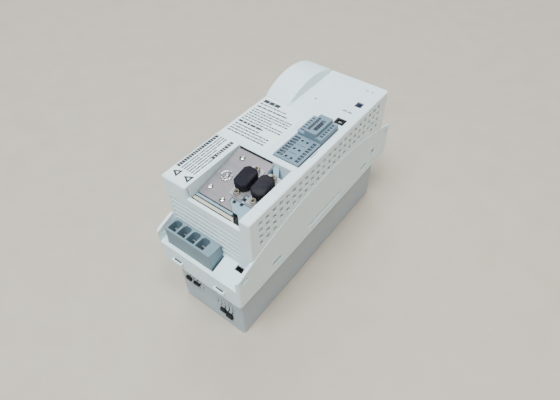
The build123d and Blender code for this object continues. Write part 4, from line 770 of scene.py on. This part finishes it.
def make_fan_rotor():
    """A moulded impeller: a rounded cup hub with seven twisted, curved blades."""
    low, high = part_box("fan_rotor")
    hinge = joint("fan_spin")["pos_m"]
    here = Matrix.Translation((hinge[0], low.y, hinge[2])) @ Matrix.Rotation(-math.pi / 2, 4, "X")
    bend = [
        (HUB_RADIUS - HUB_ROUND + HUB_ROUND * math.sin(angle), HUB_ROUND - HUB_ROUND * math.cos(angle))
        for angle in (0.4, 0.8, 1.2, 1.57)
    ]
    shaft = 1.5 * MM
    end = high.y - low.y
    cup = [(0, 0), (HUB_RADIUS - HUB_ROUND, 0), *bend, (HUB_RADIUS, FAN_DEPTH)]
    cup += [(HUB_RADIUS - HUB_WALL, FAN_DEPTH), (HUB_RADIUS - HUB_WALL, HUB_WALL)]
    cup += [(shaft, HUB_WALL), (shaft, end), (0, end)]
    bm = bmesh.new()
    lathe(bm, cup, here, 56)
    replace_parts(finish_mesh(bm, "fan_hub", "black_plastic", "fan"), "fan_rotor")
    bm = bmesh.new()
    for blade in range(BLADES):
        place = here @ Matrix.Rotation(2 * math.pi * blade / BLADES, 4, "Z")
        under, over = [blade_skin(bm, place, side) for side in (-1, 1)]
        for station in range(STATIONS - 1):
            for step in range(CHORD_STEPS - 1):
                for skin in (under, over):
                    patch(bm, skin[station], skin[station + 1], step)
            for edge in (0, CHORD_STEPS - 1):
                lower, upper = [(under[row][edge], over[row][edge]) for row in (station, station + 1)]
                patch(bm, lower, upper, 0)
        for station in (0, STATIONS - 1):
            for step in range(CHORD_STEPS - 1):
                patch(bm, under[station], over[station], step)
    blades = finish_mesh(bm, "fan_blades", "black_plastic", "fan", smooth=True)
    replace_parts(blades, "fan_rotor")


# ---------------------------------------------------------------- parts on the control board

CHIP_SIZES = ((1.2, 2.0, 0.5), (1.6, 3.2, 0.7), (2.5, 3.2, 0.9), (5.0, 4.0, 1.1))
TERMINAL_LENGTH = 0.5 * MM
TERMINAL_RIM = 0.15 * MM
TERMINAL_HEIGHT_SHARE = 0.92


def overlap(first, second):
    return (
        first[0] < second[2] and second[0] < first[2] and first[1] < second[3] and second[1] < first[3]
    )


def scatter_components(name, board, low, high, tries, seed, keep_out):
    """Small soldered parts at random places on a board, clear of each other and of the keep_out areas."""
    draw = random.Random(seed)
    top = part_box(board)[1].z
    bodies = bmesh.new()
    ends = bmesh.new()
    placed = []
    for _ in range(tries):
        x = draw.uniform(low[0], high[0])
        y = draw.uniform(low[1], high[1])
        wide, long, tall = [size * MM for size in draw.choice(CHIP_SIZES)]
        if draw.random() < 0.5:
            wide, long = long, wide
        box = (x - wide, y - long, x + wide, y + long)
        if any(overlap(box, other) for other in placed + keep_out):
            continue
        placed.append(box)
        slab(bodies, (x - wide / 2, y - long / 2, top), (x + wide / 2, y + long / 2, top + tall))
        lengthwise = int(long > wide)
        for side in (-1, 1):
            near = [x - wide / 2 - TERMINAL_RIM, y - long / 2 - TERMINAL_RIM]
            far = [x + wide / 2 + TERMINAL_RIM, y + long / 2 + TERMINAL_RIM]
            edge = (x, y)[lengthwise] + side * (wide, long)[lengthwise] / 2
            span = sorted((edge - side * TERMINAL_LENGTH, edge + side * TERMINAL_RIM))
            near[lengthwise], far[lengthwise] = span
            slab(ends, (*near, top), (*far, top + tall * TERMINAL_HEIGHT_SHARE))
    finish_mesh(bodies, name, "black_plastic")
    finish_mesh(ends, f"{name}_terminals", "tin")


def footprint(name, margin):
    """The rectangles that a node's solids cover on a board, with a margin."""
    return [(b[0].x - margin, b[0].y - margin, b[1].x + margin, b[1].y + margin) for b in islands(name)]


# ---------------------------------------------------------------- pieces of the plugs

CLEAR = 0.05 * MM
ENTRIES = 8
ENTRY_PITCH = 3.5 * MM
ENTRY_LENGTH = 2.5 * MM
# The middles of the two columns of entries are measured from the plug's own edges
LEFT_ENTRY = 4.2 * MM
LEFT_ENTRY_WIDTH = 5.6 * MM
RIGHT_ENTRY = 3.7 * MM
RIGHT_ENTRY_WIDTH = 3.4 * MM
ENTRY_DEPTH = 5.5 * MM
FILL_TOP_DEPTH = 1.7 * MM
TEST_HOLES_X = (21.6 * MM, 26.4 * MM)
TEST_HOLES_Y = (-28.5 * MM, -17.5 * MM, -6.0 * MM)
TEST_FILL_RADIUS = 1.15 * MM
TEST_FILL_HEIGHT = 4.9 * MM


def make_clamps():
    """Dark fills in the flush plug's wire entries and test holes, painted shade in these holes, and a bent metal
    tongue in each entry.
    """
    low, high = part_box("control_plug")
    hole_shade = bmesh.new()
    tongues = bmesh.new()
    middle_y = (low.y + high.y) / 2
    floor = high.z - ENTRY_DEPTH
    level = high.z - FILL_TOP_DEPTH + CLEAR
    reach = ENTRY_LENGTH / 2 - CLEAR
    columns = ((low.x + LEFT_ENTRY, LEFT_ENTRY_WIDTH), (high.x - RIGHT_ENTRY, RIGHT_ENTRY_WIDTH))
    for centre_x, width in columns:
        half = width / 2 - CLEAR
        left = centre_x - half
        right = centre_x + half
        bend = [(left, 0), (left + 0.3 * MM, 0), (right - 0.9 * MM, 1.3 * MM), (right - 1.2 * MM, 1.4 * MM)]
        for entry in range(ENTRIES):
            y = middle_y + (entry - (ENTRIES - 1) / 2) * ENTRY_PITCH
            slab(hole_shade, (left, y - reach, floor), (right, y + reach, high.z - FILL_TOP_DEPTH))
            near, far = [
                [tongues.verts.new((x, y + side, level + z)) for x, z in bend]
                for side in (-0.5 * reach, 0.5 * reach)
            ]
            prism(tongues, far, near)
    # Dark cylinders in the test holes: painted shade.
    hole_fill = [(0, 0), (TEST_FILL_RADIUS, 0), (TEST_FILL_RADIUS, TEST_FILL_HEIGHT), (0, TEST_FILL_HEIGHT)]
    for x in TEST_HOLES_X:
        for y in TEST_HOLES_Y:
            lathe(hole_shade, hole_fill, Matrix.Translation((x, y, floor)), 24)
    finish_mesh(hole_shade, "clamp_hole_shade", "black_plastic", "terminal_plug")
    finish_mesh(tongues, "clamp_tongues", "tin", "terminal_plug")


def make_plug_slot_shade_and_marks():
    """Dark bars across the raised plug's long recess, painted shade of its contact slots, and printed marks on the
    field beside it.
    """
    low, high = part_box("tall_plug")
    # Each column's places are in mm: left edge, width, first mark, pitch, mark's length, depth and count
    columns = (
        # The first column is painted shade of the contact slots; the other two are printed marks.
        (8.0, 3.2, 2.6, 2.2, 1.25, 0.3, 8),
        (12.9, 0.7, 5.0, 2.8, 1.7, 2.0, 5),
        (14.6, 0.7, 4.4, 2.8, 1.7, 2.0, 5),
    )
    bm = bmesh.new()
    for column, width, first, pitch, length, depth, count in columns:
        left = low.x + column * MM
        for mark in range(count):
            near = low.y + first * MM + mark * pitch * MM
            far = near + length * MM
            slab(bm, (left, near, high.z - depth * MM), (left + width * MM, far, high.z + PRINT_DEPTH))
    finish_mesh(bm, "plug_slot_shade_and_marks", "black_plastic", "raised_plug", PALE_INK)


# ---------------------------------------------------------------- pieces round the sloping plate

PLATE_THICKNESS = 1.2 * MM
# X and Y of the pockets, in mm
SHELF_POCKETS = ((19.3, -77.3), (19.8, -81.7), (13.4, -82.6))
RING_PLACE = (-7.6 * MM, -67.2 * MM)
# The ring's section as (radius, height), and the crown inside it, in mm
RING = (
    (3.65, 0.0),
    (3.65, 0.45),
    (3.9, 0.75),
    (4.45, 0.9),
    (5.0, 0.75),
    (5.3, 0.4),
    (5.3, 0.0),
    (3.65, 0.0),
)
CROWN_RADIUS = 2.85
CROWN_HEIGHT = 1.35


def plate_spot(x, y, lift=0.0):
    """A frame on the sloping plate's top face, lifted off it, with its Y uphill."""
    turn = slope_frame()
    normal = Vector(turn.col[2][:3])
    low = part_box("shield_plate")[0]
    top = low.z + PLATE_THICKNESS * normal.z - (y - low.y) * normal.y / normal.z
    return Matrix.Translation(Vector((x, y, top)) + lift * normal) @ turn


def make_recess_shadow_lips():
    """Thin black lips along the foam strip, the plate's near edge and the recess's far wall, painted shadow in the
    gaps where dark lines frame the plate.
    """
    gasket_low, gasket_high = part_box("edge_gasket")
    plate_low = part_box("shield_plate")[0]
    carrier_low, carrier_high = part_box("connector_carrier")
    lip = 0.75 * MM
    left = carrier_low.x + 2 * CLEAR
    right = gasket_high.x - 2.2 * MM
    over_gasket = gasket_high.z + 0.3 * MM
    bm = bmesh.new()
    for near, far, top in (
        (gasket_low.y - CLEAR, gasket_low.y + lip, over_gasket),
        (gasket_high.y - CLEAR, gasket_high.y + lip, over_gasket),
        (plate_low.y - lip, plate_low.y - CLEAR, plate_low.z + 0.5 * MM),
    ):
        slab(bm, (left, near, gasket_low.z + CLEAR), (right, far, top))
    far_lip = carrier_high.y - 0.7 * MM
    far_top = panel_z - 0.5 * MM
    slab(bm, (left + 1.0 * MM, far_lip, carrier_high.z), (right - 6.0 * MM, carrier_high.y, far_top))
    finish_mesh(bm, "recess_shadow_lips", "black_plastic")


def make_shelf_squares():
    """Dark squares set into the three small pockets of the shelf beside the plate."""
    side = 1.25 * MM
    bm = bmesh.new()
    for x, y in SHELF_POCKETS:
        before = len(bm.verts)
        slab(bm, (-side, -side, -2.5 * MM), (side, side, 0.1 * MM))
        bm.verts.ensure_lookup_table()
        bmesh.ops.transform(bm, matrix=plate_spot(x * MM, y * MM), verts=bm.verts[before:])
    finish_mesh(bm, "shelf_dark_squares", "black_plastic")


def make_pressed_ring():
    """The bright pressed ring and crown beside the connectors, with a hammered surface."""
    place = plate_spot(*RING_PLACE, 0.02 * MM)
    angles = [math.radians(step) for step in range(0, 90, 10)]
    crown = [(CROWN_RADIUS * math.cos(angle), CROWN_HEIGHT * math.sin(angle)) for angle in angles]
    bm = bmesh.new()
    for profile in (RING, [(0, 0), *crown, (0, CROWN_HEIGHT)]):
        lathe(bm, [(radius * MM, height * MM) for radius, height in profile], place, 48)
    finish_mesh(bm, "pressed_ring", "screw_steel", material=HAMMERED, smooth=True, weld=0.1 * SAME_POINT)


# ---------------------------------------------------------------- pieces of the end walls


def make_clip_noses():
    """The rounded noses of the fan's clips, which stand out of their windows in the grille."""
    reach = 2.3 * MM
    inset = 0.2 * MM
    bm = bmesh.new()
    for low, high in islands("fan_clips"):
        slab(bm, (low.x, low.y - reach, low.z + inset), (high.x, low.y + 0.1 * MM, high.z - inset))
    soft_edges(finish_mesh(bm, "fan_clip_noses", "black_plastic"), 0.45 * MM)


def make_loop_gap_shadows():
    """Dark slabs in the slots of the latch loops, two on each end wall: painted shadow in the gaps behind the
    loops.
    """
    loop_x = 23.3 * MM
    half_width = 4.0 * MM
    bottom = 71.2 * MM
    top = 72.7 * MM
    loop_reach = 2.8 * MM
    wall_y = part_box("rear_housing")[1].y - loop_reach
    bm = bmesh.new()
    for end in (-1, 1):
        near, far = sorted((end * (wall_y + 0.1 * MM), end * (wall_y + 1.2 * MM)))
        for x in (-loop_x, loop_x):
            slab(bm, (x - half_width, near, bottom), (x + half_width, far, top))
    finish_mesh(bm, "loop_gap_shadows", "black_plastic")


make_plate_screws()
make_jack_screws()
make_clip_noses()
make_loop_gap_shadows()
make_clamps()
make_plug_slot_shade_and_marks()
make_recess_shadow_lips()
make_shelf_squares()
make_pressed_ring()
make_fan_rotor()
scatter_components(
    "control_board_parts",
    "control_board",
    low=(-36 * MM, -34 * MM),
    high=(8 * MM, 86 * MM),
    tries=110,
    seed=5,
    keep_out=footprint("control_chips", 1.5 * MM),
)
for soft_node, width in (
    ("encoder_cap", 0.55),
    ("resolver_cap", 0.55),
    ("motor_header", 0.25),
    ("bus_header", 0.25),
    ("control_plug", 0.2),
    ("tall_plug", 0.25),
):
    soft_edges(frame["nodes"][soft_node], width * MM)


# ---------------------------------------------------------------- camera, light and floor

CAMERA_PLACE = (0.180485, -0.24315, 0.384162)
CAMERA_YAW = math.radians(-37.67)
CAMERA_PITCH = math.radians(47.06)
CAMERA_ROLL = math.radians(-0.93)
CAMERA_LENS = 28.98
COOL = (0.88, 0.97, 1.0)
WARM = (1.0, 0.6, 0.32)
# Each light's name, place, target, size, power and tone
LIGHTS = (
    ("key", (0.06, -1.38, 3.3), (0, 0, 0.1), (1.5, 1.5), 216.0, COOL),
    ("right_key", (1.15, -0.24, 3.3), (0, 0, 0.1), (0.6, 0.6), 60.0, COOL),
    ("side_fill", (2.4, 0.5, 0.5), (0, 0, 0.08), (1.8, 0.9), 9.0, WARM),
    ("far_fill", (-1.35, 1.65, 3.0), (0, 0, 0.1), (2.4, 2.4), 80.0, COOL),
)
FLOOR_REACH = 2.8
FLOOR_DROP = 0.2 * MM
SKY = colour(0.93, 0.94, 0.94)
# The world's strength by a direction's Z: full near the horizon, faint above
SKY_FADE = (("From Min", 0.22), ("To Min", 0.5), ("From Max", 0.5), ("To Max", 0.08))


def make_camera():
    """The camera stands to the near right of the drive, above it, and looks down at it."""
    flat = math.cos(CAMERA_PITCH)
    forward = Vector((math.sin(CAMERA_YAW) * flat, math.cos(CAMERA_YAW) * flat, -math.sin(CAMERA_PITCH)))
    level = Vector((math.cos(CAMERA_YAW), -math.sin(CAMERA_YAW), 0.0))
    above = level.cross(forward)
    side = level * math.cos(CAMERA_ROLL) + above * math.sin(CAMERA_ROLL)
    up = above * math.cos(CAMERA_ROLL) - level * math.sin(CAMERA_ROLL)
    data = bpy.data.cameras.new("camera")
    data.sensor_width = 36.0
    data.lens = CAMERA_LENS
    data.clip_start = 0.01
    turned = Matrix((side, up, -forward)).transposed().to_4x4()
    camera = bpy.data.objects.new("camera", data)
    camera.matrix_world = Matrix.Translation(CAMERA_PLACE) @ turned
    bpy.context.scene.collection.objects.link(camera)
    bpy.context.scene.camera = camera


def area_light(name, place, target, size, power, tone):
    data = bpy.data.lights.new(name, "AREA")
    data.shape = "RECTANGLE"
    data.size, data.size_y = size
    data.energy = power
    data.color = tone
    light = bpy.data.objects.new(name, data)
    light.location = place
    light.rotation_mode = "QUATERNION"
    light.rotation_quaternion = (Vector(target) - Vector(place)).to_track_quat("-Z", "Y")
    bpy.context.scene.collection.objects.link(light)


def make_floor():
    """A wide pale floor, just under the drive."""
    made = Nodes("floor_pale")
    grain = made.noise(30.0, detail=5.0, rough=0.6)
    shade = made.mix(made.remap(grain, 0.3, 0.7), colour(0.44, 0.375, 0.3), colour(0.47, 0.405, 0.33))
    material = made.finish(Base_Color=shade, Roughness=made.remap(grain, 0.3, 0.7, 0.6, 0.75))
    bm = bmesh.new()
    corners = ((-1, -1), (1, -1), (1, 1), (-1, 1))
    bm.faces.new([bm.verts.new((x * FLOOR_REACH, y * FLOOR_REACH, 0)) for x, y in corners])
    mesh = bpy.data.meshes.new("floor")
    bm.to_mesh(mesh)
    bm.free()
    mesh.materials.append(material)
    floor = bpy.data.objects.new("floor", mesh)
    floor.location.z = -FLOOR_DROP
    bpy.context.scene.collection.objects.link(floor)


def make_sky():
    """A plain grey-white world, brighter near the horizon than above."""
    world = bpy.data.worlds.new("studio")
    world.use_nodes = True
    tree = world.node_tree
    background = tree.nodes["Background"]
    background.inputs["Color"].default_value = SKY
    direction = tree.nodes.new("ShaderNodeTexCoord")
    split = tree.nodes.new("ShaderNodeSeparateXYZ")
    fade = tree.nodes.new("ShaderNodeMapRange")
    for key, value in SKY_FADE:
        fade.inputs[key].default_value = value
    tree.links.new(direction.outputs["Generated"], split.inputs[0])
    tree.links.new(split.outputs["Z"], fade.inputs["Value"])
    tree.links.new(fade.outputs["Result"], background.inputs["Strength"])
    bpy.context.scene.world = world


make_camera()
make_floor()
make_sky()
for light in LIGHTS:
    area_light(*light)
